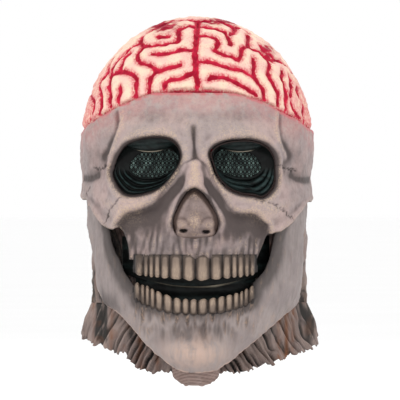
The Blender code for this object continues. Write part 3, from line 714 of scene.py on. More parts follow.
def skull_face(look):
    """Forehead, temples, cheekbones and upper jaw bone."""
    sockets, nasal, cheeks = skull_openings()
    outlines = [*sockets, nasal, *cheeks]

    def material(arc, z):
        place = chart(arc, z, skull_width)
        return np.minimum.reduce([outline_distance(place, outline) for outline in outlines])

    spacing = 1.1
    reach = arc_at(math.radians(104))
    arc, rise = sheet(-reach, reach, 142, spacing)
    ring = skull_surface(arc, 245)
    low = upper_gum(ring[..., 0])
    top = lip_height(ring[..., 1])
    z = low + (top - low) * rise
    arc, z, keep = trim(arc, z, material, spacing)
    place = chart(arc, z, skull_width)
    base = skull_surface(arc, z)
    x = base[..., 0]

    socket = np.minimum(*[outline_distance(place, outline) for outline in sockets])
    nose = outline_distance(place, nasal)
    cheek = np.minimum(*[outline_distance(place, outline) for outline in cheeks])
    under = np.vstack([on_skull(SUTURE_LEFT)[::-1], on_skull(SUTURE_RIGHT), [(74, 90), (-80, 90)]])
    inside = -outline_distance(place, under)
    suture = np.abs(inside)
    glabella = line_distance(place, on_skull(GLABELLA))
    temples = [on_skull(TEMPLE_LEFT), on_skull(TEMPLE_RIGHT)]
    temple = np.minimum(*[line_distance(place, line) for line in temples])
    inner = np.minimum(line_distance(place, temples[0] + [6, 0]), line_distance(place, temples[1] - [6, 0]))
    jag = place + 0.7 * joined(waves(place, 5, 7), waves(place, 5, 8))
    crack = np.minimum.reduce([line_distance(jag, on_skull(points)) for points in CRACKS])
    notch = np.minimum(*[line_distance(place, on_skull(points)) for points in (NOTCH_LEFT, NOTCH_RIGHT)])
    arch = np.minimum(*[line_distance(place, on_skull(points)) for points in (ARCH_LEFT, ARCH_RIGHT)])
    bridge = ridge(x, 3.6) * smooth(z, 186, 190) * fade(z, 206, 214)
    side_nose = smooth(np.abs(x), 5, 15)
    roots = crown_of(x, UPPER_EDGES) * fade(z, 119, 142) * smooth(-np.abs(x), -64, -56)

    detail = 2.2 * ridge(socket - 5, 3.4) - 1.6 * ridge(socket, 1.5)
    detail += (1.6 * ridge(nose - 3.5, 2.6) - 1.0 * ridge(nose, 1.2)) * smooth(z, 142, 152)
    detail += 1.2 * ridge(cheek - 4, 3.0) - 1.2 * ridge(cheek, 1.4)
    hollow = smooth(inside, -1.0, 6) * (1 - 0.75 * smooth(inside, 14, 34)) * side_nose
    detail -= 3.4 * hollow
    detail += 1.5 * ridge(inside + 4, 3.2) * side_nose
    detail -= 1.1 * ridge(glabella, 1.3) * smooth(242 - z, 0, 10) + 0.9 * ridge(suture, 1.2)
    detail += 1.1 * ridge(glabella - 6, 4)
    detail += 1.3 * ridge(inner, 3.6) - (1.1 - 0.3 * np.sign(x)) * ridge(temple, 4) - 1.3 * ridge(notch, 4)
    detail -= 0.9 * ridge(crack, 0.9)
    detail += 1.6 * ridge(arch, 6) + 1.8 * bridge + 1.5 * roots
    detail -= 0.9 * ridge(top - z, 1.3)
    hollows, highs = relief_paint(detail + skull_relief(x, z), 5, 1.3)
    texture = 0.6 * waves(base, 40, 1) + 0.25 * waves(base, 15, 2) + 0.12 * waves(base, 6, 3)
    detail += texture
    upper_jaw = np.maximum(side_nose, 1 - smooth(z, 138, 150)) * smooth(inside, -1.5, 6)
    strokes = waves(joined(x, 0.2 * z), 5, 4) * upper_jaw * fade(z, 134, 152)
    # dark: the wash and painted shade in the hollows and creases, painted shadow round the nasal opening,
    # under the cheekbones (shade) and along the upper jaw's cut edges, and painted shade darkening towards
    # the sides; the socket rims are black paint
    dark = 0.8 * hollows + 1.0 * ridge(socket, 3.2) + 0.9 * ridge(nose, 1.8) * smooth(z, 145, 152)
    shade = fade(inside, 3, 20) * smooth(np.abs(x), 24, 44) * smooth(z, 136, 148)
    beside_nose = fade(np.abs(x), 22, 38) * smooth(z, 145, 155)
    dark += upper_jaw * (0.36 - 0.2 * beside_nose + 1.2 * shade + 0.4 * ridge(inside - 2, 4))
    dark += 0.3 * smooth(strokes, 0, 1.5)
    dark += 0.15 * ridge(temple, 5) + 0.35 * ridge(notch, 4) + 0.25 * bump(np.abs(x), z, 92, 200, 14, 8)
    dark += 0.1 * fade(z - upper_gum(x), 0.4, 6.4) + 0.3 * ridge(glabella, 4)
    dark += 0.16 * smooth(np.abs(x), 70, 94)
    dark += 0.5 * ridge(cheek, 3) * fade(z, 141, 146) + 0.12 + 0.25 * ridge(suture, 3) * side_nose
    warm = 0.6 * highs + 1.0 * bridge + 0.35 * ridge(socket - 3.2, 1.3) * smooth(210 - z, -15, 12)
    warm += 0.5 * smooth(-strokes, 0.2, 1.6)
    warm += 0.3 * ridge(inside + 3, 2.4) + 0.8 * ridge(cheek - 1.0, 1.1) * smooth(z, 141, 146)
    warm += 0.6 * ridge(inner, 2.2) + 0.5 * bump(np.abs(x), z, 66, 160, 20, 12)
    warm += 0.35 * smooth(z, 215, 250) + 0.9 * ridge(top - z, 1.1)
    # line: cracks, sutures and the socket rims, with painted shadow right under the cheekbones
    line = 0.62 * ridge(crack, 0.58) + 0.55 * ridge(glabella, 0.75) * smooth(242 - z, 0, 14)
    line += 0.35 * ridge(suture, 0.8) + 0.12 * ridge(temple, 1.4) + 0.5 * shade * ridge(inside - 4, 6)
    line += 0.9 * ridge(socket, 1.0) + 0.5 * fade(z - low, 0.2, 1.6)
    rosy = 0.9 * fade(top - z, 1, 4) + 0.3 * fade(top - z, 3, 30)
    points = base + normals(skull_surface, arc, z) * detail[..., None]
    made = add_grid("skull_face_latex", points, keep, paint=latex_paint(dark, warm, line, rosy))
    join_body(made, look, "bone", "head", "skull_face", thickness=SKULL_THICK)


def groove_lines():
    """The brain's grooves as lines in space on the dome."""
    for points in BRAIN_GROOVES:
        x, z = curve(points, per=3).T
        x = x + math.sin(VIEW_TURN) * plain_depth(x, z)
        yield joined(x, -plain_depth(x, z), z)


def maze_distance(points, length, seed, count=26):
    """Distance to the nearest fold of a seeded labyrinth."""
    dice = np.random.default_rng(seed)
    total = np.zeros(points.shape[:-1])
    slope = np.zeros(points.shape)
    for _ in range(count):
        heading = dice.normal(size=3)
        heading *= 2 * math.pi / (length * np.linalg.norm(heading))
        turn = points @ heading + dice.uniform(0, 2 * math.pi)
        total += np.cos(turn)
        slope -= np.sin(turn)[..., None] * heading
    return np.abs(total) / np.maximum(np.linalg.norm(slope, axis=-1), 0.25)


def brain_cap(look):
    """The rubber brain: rounded folds with deep grooves, tucked inside the cut edge."""
    tuck_rows = 7
    dome_rows = 104
    half = ARCS[-1]
    arc = np.linspace(-half, half, 470, endpoint=False)
    rim = plain_surface(arc, 245)
    lip = lip_height(rim[:, 1])
    rows = []
    for step in np.linspace(0, 1, tuck_rows, endpoint=False):
        inset = SKULL_THICK + 2.0 + (1 - step) * 2.6 * smooth(rim[:, 1], -60, 0)
        rows.append(plain_surface(arc, lip - 5 + 6.5 * step, inset))
    low = lip + 1.5
    low_turn = np.arcsin((low - EQUATOR) / (CROWN - EQUATOR))
    for step in np.linspace(0, 0.975, dome_rows):
        turn = low_turn + (math.pi / 2 - low_turn) * step
        z = EQUATOR + (CROWN - EQUATOR) * np.sin(turn)
        inset = 0.8 + 3.6 * fade(z - lip, 1, 6)
        rows.append(plain_surface(arc, z, np.minimum(inset, skull_width(z) * 0.4)))
    points = np.array(rows)

    front = np.minimum.reduce([line_distance(points, line) for line in groove_lines()])
    behind = smooth(points[..., 1], -8, 18)
    back = maze_distance(points, 30, 11)
    away = np.minimum(front + 14 * behind ** 2, back + 14 * (1 - behind) ** 2)
    away = np.hypot(away, 0.5) - 0.5
    t = np.clip(away / 7.5, 0, 1)
    fold = np.sqrt(1 - (1 - t) ** 2)
    above = points[..., 2] - lip
    shown = smooth(above, 0, 5)
    along = np.roll(points, -1, 1) - np.roll(points, 1, 1)
    up = np.gradient(points, axis=0)
    out = unit(np.cross(along, up))
    detail = 4.6 * (fold - 1) + 0.35 * waves(points, 11, 5) + 0.15 * waves(points, 5, 6)
    points = points + out * (detail * shown)[..., None]

    x, y, z = np.moveaxis(points, -1, 0)
    patch = bump(x, z, -32, 339, 14, 6) + bump(x, z, 24, 343, 18, 3.5) + 0.8 * bump(x, z, 67, 315, 6, 6)
    patch *= (y < 0) * (0.8 + 0.3 * waves(points, 7, 13))
    patch += 0.7 * smooth(waves(points, 60, 9), 1.2, 2.0) * behind
    uneven = away + 0.35 * waves(points, 9, 12)
    central = 0.9 * fade(np.abs(x), 1, 5) * (y < 0)
    groove = 1 - smooth(uneven - central, 0.6, 3.0)
    # painted shade where the dome turns away at the sides: it reddens the halo and deepens the grooves there
    side_shade = smooth(np.abs(x), 80, 106) * fade(y, 0, 80)
    halo = np.maximum(1 - smooth(uneven, 2.0, 5.6), 0.75 * side_shade)
    band = 1 - smooth(above, 0.5, 6.5)
    # deep: painted shade at the groove bottoms and on the part tucked under the skull's lip, with the cap's
    # own maroon patches
    deep = (0.5 + 0.4 * side_shade) * ridge(uneven, 1.0) + patch + 0.8 * (above < 1)
    paint = {"groove": np.clip(groove + 0.55 * band + 1.3 * patch, 0, 1),
             "halo": np.clip(halo + band + patch, 0, 1), "deep": np.clip(deep, 0, 1)}
    made = add_grid("brain_folds", points, wrap=True, cap=True, paint=paint)
    join_body(made, look, "brain", "head", "brain_cap", thickness=1.4)


def brain_latex():
    """Cream folds with crimson grooves, speckled and feathered with a dry brush, and deepened with painted
    shade in the grooves, at the sides and under the skull's lip.
    """
    look = Look("brain_latex", 0.6, 0.12)
    cream = look.patches(12, 0.35, 0.65, rgb(248, 222, 196), rgb(244, 202, 188))
    freckle = look.times(look.blend(look.noise(1.5, 4, rough=0.75), 0.52, 0.68),
                        look.blend(look.noise(11, 3), 0.38, 0.62))
    flush = look.times(look.paint("halo"), look.blend(look.noise(5, 3), 0.3, 0.65))
    cream = look.mix(look.times(flush, 0.7), cream, rgb(228, 138, 142))
    shade = look.mix(look.times(freckle, 0.75), cream, rgb(208, 84, 90))
    feather = look.blend(look.noise(1.8, 5, (1, 1, 2.2), 0.75), 0.42, 0.6)
    soft = look.times(look.paint("halo"), look.times(feather, 0.9, 0.06))
    shade = look.mix(soft, shade, rgb(206, 50, 76))
    edge = look.rough_edged("groove", look.noise(2.4, 3))
    crimson = look.patches(9, 0.4, 0.6, rgb(212, 36, 68), rgb(176, 18, 48))
    shade = look.mix(look.blend(edge, 0.3, 0.62), shade, crimson)
    # deep: painted shade in the grooves, together with the cap's own maroon patches
    shade = look.mix(look.times(look.paint("deep"), 0.8), shade, rgb(128, 6, 38))
    look.colour(shade)
    look.uneven(look.noise(3, 3), 0.45)
    look.relief(look.noise(1.8, 4), 0.5, 0.5)
    return look.material


# --- the jaw ---------------------------------------------------------------------------------

def on_jaw(points, per=4):
    """A smooth front-view line on the jaw's chart."""
    return curve(seen(points, jaw_width, jaw_depth), per=per)


def jaw_outline():
    """The edge of the jaw's shell on its chart: up the right side and down the left."""
    gum = [(x, gum_edge(x + SHIFT)) for x in np.linspace(50, -54, 110)]
    gum = seen(gum, jaw_width, jaw_depth)
    tabs = [from_side(JAW_TAB, side, jaw_width, JAW_FRONT, JAW_BACK) for side in (-1, 1)]
    chin = seen([(-10, 13), (0, 12.5), (10, 13)], jaw_width, jaw_depth)
    right = [on_jaw(JAW_EDGE_RIGHT), tabs[1][::-1], [(102, 170)], on_jaw(BRANCH_RIGHT)[::-1]]
    left = [on_jaw(BRANCH_LEFT), [(-102, 170)], tabs[0], on_jaw(JAW_EDGE_LEFT)[::-1]]
    return np.vstack([*right, gum, *left, chin])


def lower_gum(x):
    """Height where the jaw's shell ends below the lower teeth."""
    return 68.6 + 13.0 * np.abs(x / LOWER_ARC_HALF) ** 2.2


def gum_edge(x):
    """The jaw's scalloped edge around the roots of the lower teeth."""
    return lower_gum(x) + 1.6 - 2.9 * crown_of(x, LOWER_EDGES, 0.9)


def jaw_shell(look):
    """The lower jaw from the chin up to the rivets."""
    outline = jaw_outline()

    def material(arc, z):
        return -outline_distance(chart(arc, z, jaw_width), outline)

    spacing = 1.15
    reach = arc_at(math.radians(102))
    arc, z = grid(-reach, reach, 10, 190, spacing)
    arc, z, keep = trim(arc, z, material, spacing)
    base = jaw_surface(arc, z)
    x = base[..., 0]
    edge = material(arc, z)
    gum = z - gum_edge(x)
    in_mouth = smooth(-np.abs(x), -60, -52)
    streaks = waves(joined(x, 0.22 * z), 5.5, 21)
    coarse = waves(joined(x, 0.3 * z), 13, 22)
    below_teeth = in_mouth * fade(lower_gum(x) - z, 12, 36)
    roots = crown_of(x, LOWER_EDGES) * in_mouth * fade(lower_gum(x) - z, 2, 16)
    detail = below_teeth * (0.4 * streaks + 0.6 * coarse) + 0.12 * streaks + 1.3 * roots
    detail += 1.0 * bump(x, z, -14, 36, 10, 9) + 1.2 * bump(x, z, 13, 34, 10, 9)
    detail -= 0.9 * ridge(edge, 1.2)
    detail -= 0.8 * ridge(line_distance(joined(x, z), np.array([(9, 66), (8, 50), (14, 40)])), 1.4)
    hollows, highs = relief_paint(detail + jaw_relief(x, z), 5, 1.5)
    detail += 0.4 * waves(base, 38, 23) + 0.15 * waves(base, 12, 24) + 0.1 * waves(base, 5, 25)
    mouth_side = in_mouth * fade(-gum, 1, 13)
    branch = bump(np.abs(x), z, 76, 128, 9, 26) + 0.7 * bump(np.abs(x), z, 62, 100, 9, 12)
    front_edge = smooth(z, 62, 90) * fade(np.abs(x), 84, 92)
    # dark: the wash and painted shade in the hollows, painted shade on each branch beside the cheek gap
    # (branch), along the branches' front edges and higher up under the cheekbones; it is also darker just
    # below the lower teeth. line deepens the painted shade along the front edges
    dark = 0.6 * hollows + 0.5 * below_teeth * smooth(streaks, 0.0, 1.4) + 0.65 * mouth_side
    dark += 0.4 * branch + 0.15 * smooth(z, 80, 150) + 1.3 * ridge(edge, 11) * front_edge + 0.1
    warm = 0.4 * highs + 0.5 * bump(x, z, 2, 32, 28, 15)
    warm += 0.3 * smooth(streaks, 0.4, 1.6) * smooth(z, 38, 50)
    warm += 0.3 * bump(np.abs(x), z, 50, 60, 30, 20)
    line = 0.4 * below_teeth * smooth(streaks, 1.2, 2.0) + 0.9 * in_mouth * fade(-gum, 0.3, 2.0)
    line += 0.65 * ridge(edge, 5) * front_edge
    rosy = 1.5 * ridge(edge, 1.0) * (1 - front_edge) * (1 - in_mouth * smooth(z, 60, 66))
    rosy += 0.9 * bump(x, z, 0, 32, 26, 15)
    points = base + normals(jaw_surface, arc, z) * detail[..., None]
    made = add_grid("jaw_latex", points, keep, paint=latex_paint(dark, warm, line, rosy))
    join_body(made, look, "jaw_bone", "jaw", "jaw_shell", thickness=JAW_THICK)


def teeth(name, edges, root, bite, depth, look, body, node):
    """A row of cast teeth; root and bite are heights and depth the bone's, as functions of x."""
    ends = edges[0] + SHIFT, edges[-1] + SHIFT
    x, down = sheet(ends[0] - 1.5, ends[1] + 1.5, 30, 0.6)
    crown = crown_of(x, edges, 0.5)
    front_share = 0.8
    t = np.clip(down / front_share, 0, 1)
    back = np.clip((down - front_share) / (1 - front_share), 0, 1)
    up = np.sign(root(0) - bite(0))
    size = np.abs(root(x) - bite(x))
    tip = bite(x) + up * 2.6 * (1 - crown_of(x, edges, 0.75)) + 0.5 * waves(x[..., None], 9, 31)
    swell = 0.2 + 0.8 * np.sin(math.pi * np.clip(t * 0.84 + 0.04, 0, 1)) ** 0.8
    stand = 3.4 * crown * swell - 1.8 * smooth(t, 0.88, 1.0)
    z = root(x) + (tip - root(x)) * t + up * 7.0 * smooth(back, 0.3, 1)
    y = -(depth(x) - 1.2 + stand) + 4.8 * smooth(back, 0, 0.5)
    y = y + 0.15 * waves(joined(x * 1.5, z * 0.5), 4, 33)
    # Painted shade rounds each tooth off to its sides (between) and darkens the part turned back into the
    # mouth and the teeth towards the mouth's corners; each tooth is also darker at the gum, and warm is a
    # painted highlight on each crown's middle
    between = 1 - smooth(crown_of(x, edges, 1.1), 0.15, 0.95)
    arched = t * size + 2.2 * (crown_of(x, edges, 1.0) - 1)
    at_gum = 1 - smooth(arched, -0.5, 3.6)
    dark = 0.95 * between + 0.95 * at_gum + 0.9 * smooth(back, 0.1, 0.6) + 0.1
    dark += 0.45 * smooth(np.abs(x), 34, 58) + 0.3 * fade(t, 0.2, 0.7)
    warm = 0.8 * crown_of(x, edges, 1.4) * smooth(t, 0.3, 0.65)
    line = np.clip(1 - smooth(crown, 0.25, 0.62) + 0.8 * fade(arched, -1.0, 0.6), 0, 1)
    line = np.maximum(line, smooth(back, 0.5, 1))
    order = -1 if up > 0 else 1
    paint = {key: value[::order] for key, value in latex_paint(dark, warm, line).items()}
    made = add_grid(name, joined(x, y, z)[::order], paint=paint)
    join_body(made, look, "tooth", body, node, thickness=1.0)


def tooth_rows(look):
    """The upper teeth on the head and the lower ones on the jaw."""
    teeth("upper_teeth_cast", UPPER_EDGES, lambda x: 123.4 + 0 * x, lambda x: profile(UPPER_BITE, x - SHIFT),
          lambda x: face_depth(x, 118), look, "head", "upper_teeth")
    teeth("lower_teeth_cast", LOWER_EDGES, lambda x: lower_gum(x) - 1.8,
          lambda x: profile(LOWER_BITE, x - SHIFT),
          lambda x: jaw_depth(x, lower_gum(x) - 4), look, "jaw", "lower_teeth")


# --- eyes, nose and mouth --------------------------------------------------------------------

def socket_ring(points):
    """The rim of a socket in space, and the places of its window's edge beside it."""
    x, z = curve(points, True, 8).T
    x = x + math.sin(VIEW_TURN) * face_depth(x, z)
    side = np.sign(x.mean())
    turn = np.arctan2((z - z.mean()) / 25, (x - x.mean()) / 31)
    window_x, window_z = window_place(side, 1.0, turn)
    return x, z, turn, window_x, window_z


def window_place(side, share, turn):
    """A place in a socket's tilted window; share is 0 at its middle and 1 at its edge."""
    tilt = side * WINDOW_TILT
    across, up = share * WINDOW_REACH[0] * np.cos(turn), share * WINDOW_REACH[1] * np.sin(turn)
    return (side * WINDOW_MIDDLE[0] + across * math.cos(tilt) - up * math.sin(tilt),
            WINDOW_MIDDLE[1] + across * math.sin(tilt) + up * math.cos(tilt))


def screen_level(side):
    """y of the back wall of a socket."""
    return -(face_depth(side * 45.5, 203.5) - 24)


def eye_socket(points, word, look):
    """A deep black cup with folds below the window."""
    x, z, turn, window_x, window_z = socket_ring(points)
    side = np.sign(x.mean())
    share = np.linspace(0, 1, 44)[:, None]
    inward = share ** 1.5
    deep = 1 - (1 - share) ** 2.1
    middle_x, middle_z = x.mean(), z.mean()
    px = middle_x + (x - middle_x) * 0.985
    pz = middle_z + (z - middle_z) * 0.985
    px = px + (window_x - px) * inward
    pz = pz + (window_z - pz) * inward
    rim = -face_depth(x, z) + 1.4
    py = rim + (screen_level(side) - rim) * deep
    lower = smooth(-np.sin(turn), -0.1, 0.5) * smooth(share, 0.15, 0.35) * fade(share, 0.9, 1)
    wobble = 0.5 * np.sin(turn * 3 + side)
    folds = np.sin(2 * math.pi * (4.3 * share + 0.16 * wobble))
    py = py - 1.7 * folds * lower
    place = joined(px, py, pz)
    # the folds below the window carry a painted sheen; rim is the brown edge of the black paint
    paint = {"painted_sheen": lower * smooth(folds, 0.1, 0.95), "rim": 1 - smooth(share + 0 * px, 0.0, 0.12)}
    made = add_grid(f"eye_cup_{word}", place, wrap=True, paint=paint)
    if side < 0:                        # the left cup thickens backwards, the right one forwards
        made.data.flip_normals()
    join_body(made, look, "black_latex", "head", f"eye_socket_{word}", thickness=1.2)
    eye_lid(x, z, side, word, look)


def eye_lid(rim_x, rim_z, side, word, look):
    """The upper lid, hanging over the window with a thick pale edge."""
    middle = side * 42
    across, down = sheet(-25, 25, 18, 0.9)
    upper = rim_z > rim_z.mean()
    order = np.argsort(rim_x[upper])
    x = middle + across
    top = np.interp(x, rim_x[upper][order], rim_z[upper][order]) - 0.4
    free = 218.5 + 0.012 * across ** 2
    z = top + (np.minimum(free, top - 1) - top) * down
    recess = 2.0 + 7.5 * down ** 1.2 + 0.012 * across ** 2 * down
    y = -(face_depth(x, top) - recess) - 1.6 * np.sin(math.pi * down)
    y = y + 0.5 * np.sin(2 * math.pi * down * 2.2 + across * 0.03)
    bright = smooth(down, 0.9, 0.98) * fade(np.abs(across), 7, 14)
    # a painted sheen across the middle of the lid; edge is its pale cut edge
    paint = {"painted_sheen": 0.3 * np.sin(math.pi * down)[::-1], "edge": bright[::-1]}
    made = add_grid(f"eye_lid_{word}", joined(x, y, z)[::-1], paint=paint)
    join_body(made, look, "black_latex", "head", thickness=1.5)


def eye_screen(side, word, look, gauze_look):
    """A black screen full of small staggered holes, with pale gauze behind it that stands in for the light
    showing through them.
    """
    level = screen_level(side) + 1.6
    pitch_x, pitch_z, hole_x, hole_z = 3.9, 4.0, 1.05, 1.45
    corners = 8
    turns = 2 * math.pi * (np.arange(corners) + 0.5) / corners
    vertices, faces = [], []
    for row in range(-5, 6):
        for column in range(-9, 10):
            off_x, off_z = (column + 0.5 * (row % 2)) * pitch_x, row * pitch_z
            if math.hypot(off_x / 26, off_z / 18) > 1:
                continue
            middle_x, middle_z = side * WINDOW_MIDDLE[0] + off_x, WINDOW_MIDDLE[1] + off_z
            start = len(vertices)
            for turn in turns:
                away = max(abs(math.cos(turn)), abs(math.sin(turn)))
                vertices.append((middle_x + 0.5 * pitch_x * math.cos(turn) / away, level,
                                 middle_z + 0.5 * pitch_z * math.sin(turn) / away))
            for turn in turns:
                vertices.append((middle_x + hole_x * math.cos(turn), level,
                                 middle_z + hole_z * math.sin(turn)))
            for index in range(corners):
                after = (index + 1) % corners
                faces.append((start + index, start + after,
                              start + corners + after, start + corners + index))
    mesh = bpy.data.meshes.new(f"eye_mesh_{word}")
    mesh.from_pydata(to_frame(vertices).tolist(), [], faces)
    made = placed(f"eye_mesh_{word}", mesh)
    join_body(made, look, "black_mesh", "head", f"eye_screen_{word}", thickness=0.6)
    # the gauze is coloured pale so that the holes show as spots of painted light
    across, up = grid(-1, 1, -1, 1, 0.08)
    oval_x = side * WINDOW_MIDDLE[0] + 26 * across * np.sqrt(1 - up ** 2 / 2)
    oval_z = WINDOW_MIDDLE[1] + 17.5 * up * np.sqrt(1 - across ** 2 / 2)
    oval = joined(oval_x, level + 1.2, oval_z)
    oval[..., 1] += 0.4 * np.sin(across * 9) * np.cos(up * 7)
    gauze = add_grid(f"eye_gauze_{word}", oval)
    join_body(gauze, gauze_look, "black_mesh", "head", thickness=0.4)


def nose(look):
    """The soft nose that fills the nasal opening, with two nostrils."""
    x, z = grid(-28, 28, 136.5, 190, 0.85)
    outline = np.array(NASAL, float)
    outline[:, 0] += SHIFT
    outline[outline[:, 1] < 145, 1] -= 14
    room = -outline_distance(joined(x, z), curve(outline, True))
    inside = smooth(room, 0.6, 6.0) * smooth(z, 137, 142)
    flange = face_depth(x, z) - SKULL_THICK - 3.4
    bulge = 5.0 + 14.0 * bump(x, z, 0, 154, 10, 11) + 7.5 * bump(np.abs(x), z, 13, 150, 5.5, 6)
    bulge += 3.0 * bump(x, z, 0, 172, 5, 12)
    nostril = bump(x, z - 0.05 * np.abs(x + 10.5), -10.5, 145.6, 4.2, 1.8)
    nostril += bump(x, z - 0.05 * np.abs(x - 10.5), 10.5, 144.6, 4.2, 1.8)
    crease = ridge(np.hypot(np.abs(x) - 13, z - 150) - 7.5, 1.4) * smooth(z, 148, 152)
    depth = flange + bulge * inside - 6.0 * nostril * inside - 0.9 * crease * inside
    place = joined(x, -depth, z)
    depth = depth + (0.3 * waves(place, 12, 41) + 0.12 * waves(place, 4, 42)) * inside
    lap = fade(z, 140, 144) * fade(np.abs(x), 12, 19)
    sink = 3.2 * fade(z - 0.018 * x ** 2, 135, 141)
    depth = depth + (face_depth(x, z) + 1.3 - sink - depth) * lap
    hollows, highs = relief_paint(bulge * inside, 4, 1.6)
    # dark: painted shadow round the edge where the nose sits back in the opening and painted shade in its
    # hollows and crease; it is also darker at its foot to match the upper jaw, and at its top. line darkens
    # the nostrils and adds to the edge shadow
    dark = 1.15 * fade(room, 1.5, 6.5) * smooth(z, 143, 150) + 0.3 * hollows + 0.25 * crease
    dark += 0.25 * fade(z, 138, 146) + 0.3 * smooth(z, 168, 182) + 0.35
    warm = 0.6 * highs + 0.4 * bump(x, z, 0, 156, 7, 12)
    edge = fade(room, 0.2, 2.2) * smooth(z, 145, 151)
    line = 1.6 * smooth(nostril, 0.25, 0.7) + 0.9 * edge
    made = add_grid("nose_latex", joined(x, -depth, z), paint=latex_paint(dark, warm, line))
    join_body(made, look, "flesh", "head", "nose_piece", thickness=1.6)


def mouth_liners(look):
    """Black sheets behind both rows of teeth, parted by a slit with pale cut edges, and a patch of painted
    light showing through the slit.
    """
    x, t = sheet(-69, 69, 46, 1.0)
    edge = 92.2 + 0.0028 * x ** 2
    z = edge + (140 - edge) * t
    ripple = np.sin(z * 0.35 + 1.5 * np.sin(x * 0.06)) * smooth(t, 0.05, 0.2)
    y = -(section_depth(92, 104, x) - 8) + ripple
    # a painted sheen on the upper sheet's ripples
    paint = {"painted_sheen": 0.3 * smooth(np.sin(z * 0.35), 0.3, 1)}
    made = add_grid("mouth_lining_upper", joined(x, y, z), paint=paint)
    join_body(made, look, "black_latex", "head", "mouth_liner_upper", thickness=1.2)
    x, t = sheet(-56, 56, 26, 1.0)
    low = lower_gum(x) - 2
    edge = np.maximum(93.6 + 0.0032 * (x + 1) ** 2, low + 3)
    z = low + (edge - low) * t
    y = -(section_depth(88, 104, x) - 6) + 0.8 * np.sin(z * 0.4)
    # the pale cut edge of the slit, brightest right of the middle where shown paints the light that shows
    # through the slit
    shown = ridge(x - 19, 12)
    pale = np.maximum(0.55 * fade(np.abs(x - 1), 24, 46), shown)
    pale = pale * smooth(z - edge, -1.1 - 1.3 * shown, -0.4)
    # a painted sheen on the lower sheet's ripples
    paint = {"edge": pale, "painted_sheen": 0.3 * smooth(np.sin(z * 0.4), 0.3, 1)}
    made = add_grid("mouth_lining_lower", joined(x, y, z), paint=paint)
    join_body(made, look, "black_latex", "jaw", "mouth_liner_lower", thickness=1.2)


def black_latex():
    """Satin black latex with a green cast, worn pale at its cut edges, with a painted teal sheen on its
    folds and ripples.
    """
    look = Look("black_latex_satin", 0.45, 0.16)
    shade = look.patches(9, 0.4, 0.65, rgb(10, 11, 11), rgb(20, 24, 23), 4)
    # a painted highlight on the folds and ripples
    painted_sheen = look.times(look.paint("painted_sheen"), look.blend(look.noise(3, 4, (3, 1, 1)), 0.3, 0.6))
    shade = look.mix(look.times(painted_sheen, 0.9), shade, rgb(50, 68, 67))
    shade = look.mix(look.times(look.paint("rim"), 0.8), shade, rgb(52, 38, 36))
    shade = look.mix(look.paint("edge"), shade, rgb(176, 166, 148))
    look.colour(shade)
    look.uneven(look.noise(5, 3), 0.3)
    look.relief(look.noise(2.2, 4), 0.5, 0.5)
    return look.material


def mesh_look(name, colour, second, size):
    """Cloth or rubber in two shades."""
    look = Look(name, 0.7, 0.3)
    look.colour(look.patches(size, 0.35, 0.65, colour, second))
    look.relief(look.noise(size * 0.4, 2), 0.2, 0.6)
    return look.material


# --- skin, hem and throat --------------------------------------------------------------------

# The hem's lower edge as (x, z) in the front view, and its folds with painted shadow and its rustiest
# folds as (x, half-width, strength).
HEM_EDGE = [(-113, 52), (-108, 48), (-104, 44), (-94, 36), (-86, 37), (-82.5, 34), (-75, 30), (-65, 31),
            (-63, 25), (-57, 18), (-51, 15), (-42, 14), (-38, 11), (-32, 14), (-27, 12), (0, 11), (38, 12.5),
            (51, 15), (57, 18), (63, 20), (73, 20), (76, 24), (84, 27), (92, 29), (101, 32), (108, 34),
            (113, 42)]
SHADOW_FOLDS = [(-92.5, 3.6, 1.2), (-86, 1.6, 0.9), (-62, 2.5, 0.8), (68, 2.5, 0.5), (107, 4.5, 1.2),
              (97.5, 1.2, 0.5)]
RUST_FOLDS = [(-80, 2.0, 0.6), (-52, 2.5, 0.7), (78, 2.2, 0.9), (85, 2.0, 1.0), (91, 1.6, 0.8),
              (-97, 1.5, 0.5), (-36, 2.0, 0.5)]
HEM_TOP = 79.0
BULGE = 4.0             # how much further the skin of the right cheek stands out than the left


def fold_place(turn, z):
    """A coordinate that is constant along each pleat; pleats near the chin slant outwards."""
    half = math.radians(78)
    slant = 0.45 * fade(np.abs(turn), math.radians(28), half)
    return arc_at(turn) + np.sign(turn) * slant * (z - 12)


def pleats(turn, z):
    """Sharp irregular folds, about -1 to 1."""
    place = fold_place(turn, z)[..., None]
    broad = waves(place, 15, 51)
    fine = waves(np.concatenate([place, 0.1 * z[..., None]], -1), 6.2, 52)
    value = 0.6 * broad + 0.7 * fine
    return np.sign(value) * np.abs(np.clip(value, -1.6, 1.6)) ** 0.7


def hem_point(turn, z, stand):
    """A place on the hem, standing this far out from its plain surface."""
    width = profile(HEM_HALF_WIDTH, z)
    x, y = section(turn, width + stand, HEM_FRONT + stand, profile(HEM_BACK, z) + stand)
    return joined(x, y, z)


def hem_bottom(turn):
    """Height of the ragged edge."""
    x, _ = section(turn, 108, HEM_FRONT, 100)
    ahead = np.interp(x, *np.array(HEM_EDGE, float).T)
    around = 44 + 2.5 * waves(arc_at(turn)[..., None], 23, 54)
    edge = ahead + (around - ahead) * smooth(np.abs(turn), math.radians(82), math.radians(100))
    place = arc_at(turn)[..., None]
    nick = np.clip(waves(place, 9, 55), 0, 2) ** 2
    return edge + 0.6 * waves(place, 4.2, 56) + 0.9 * nick


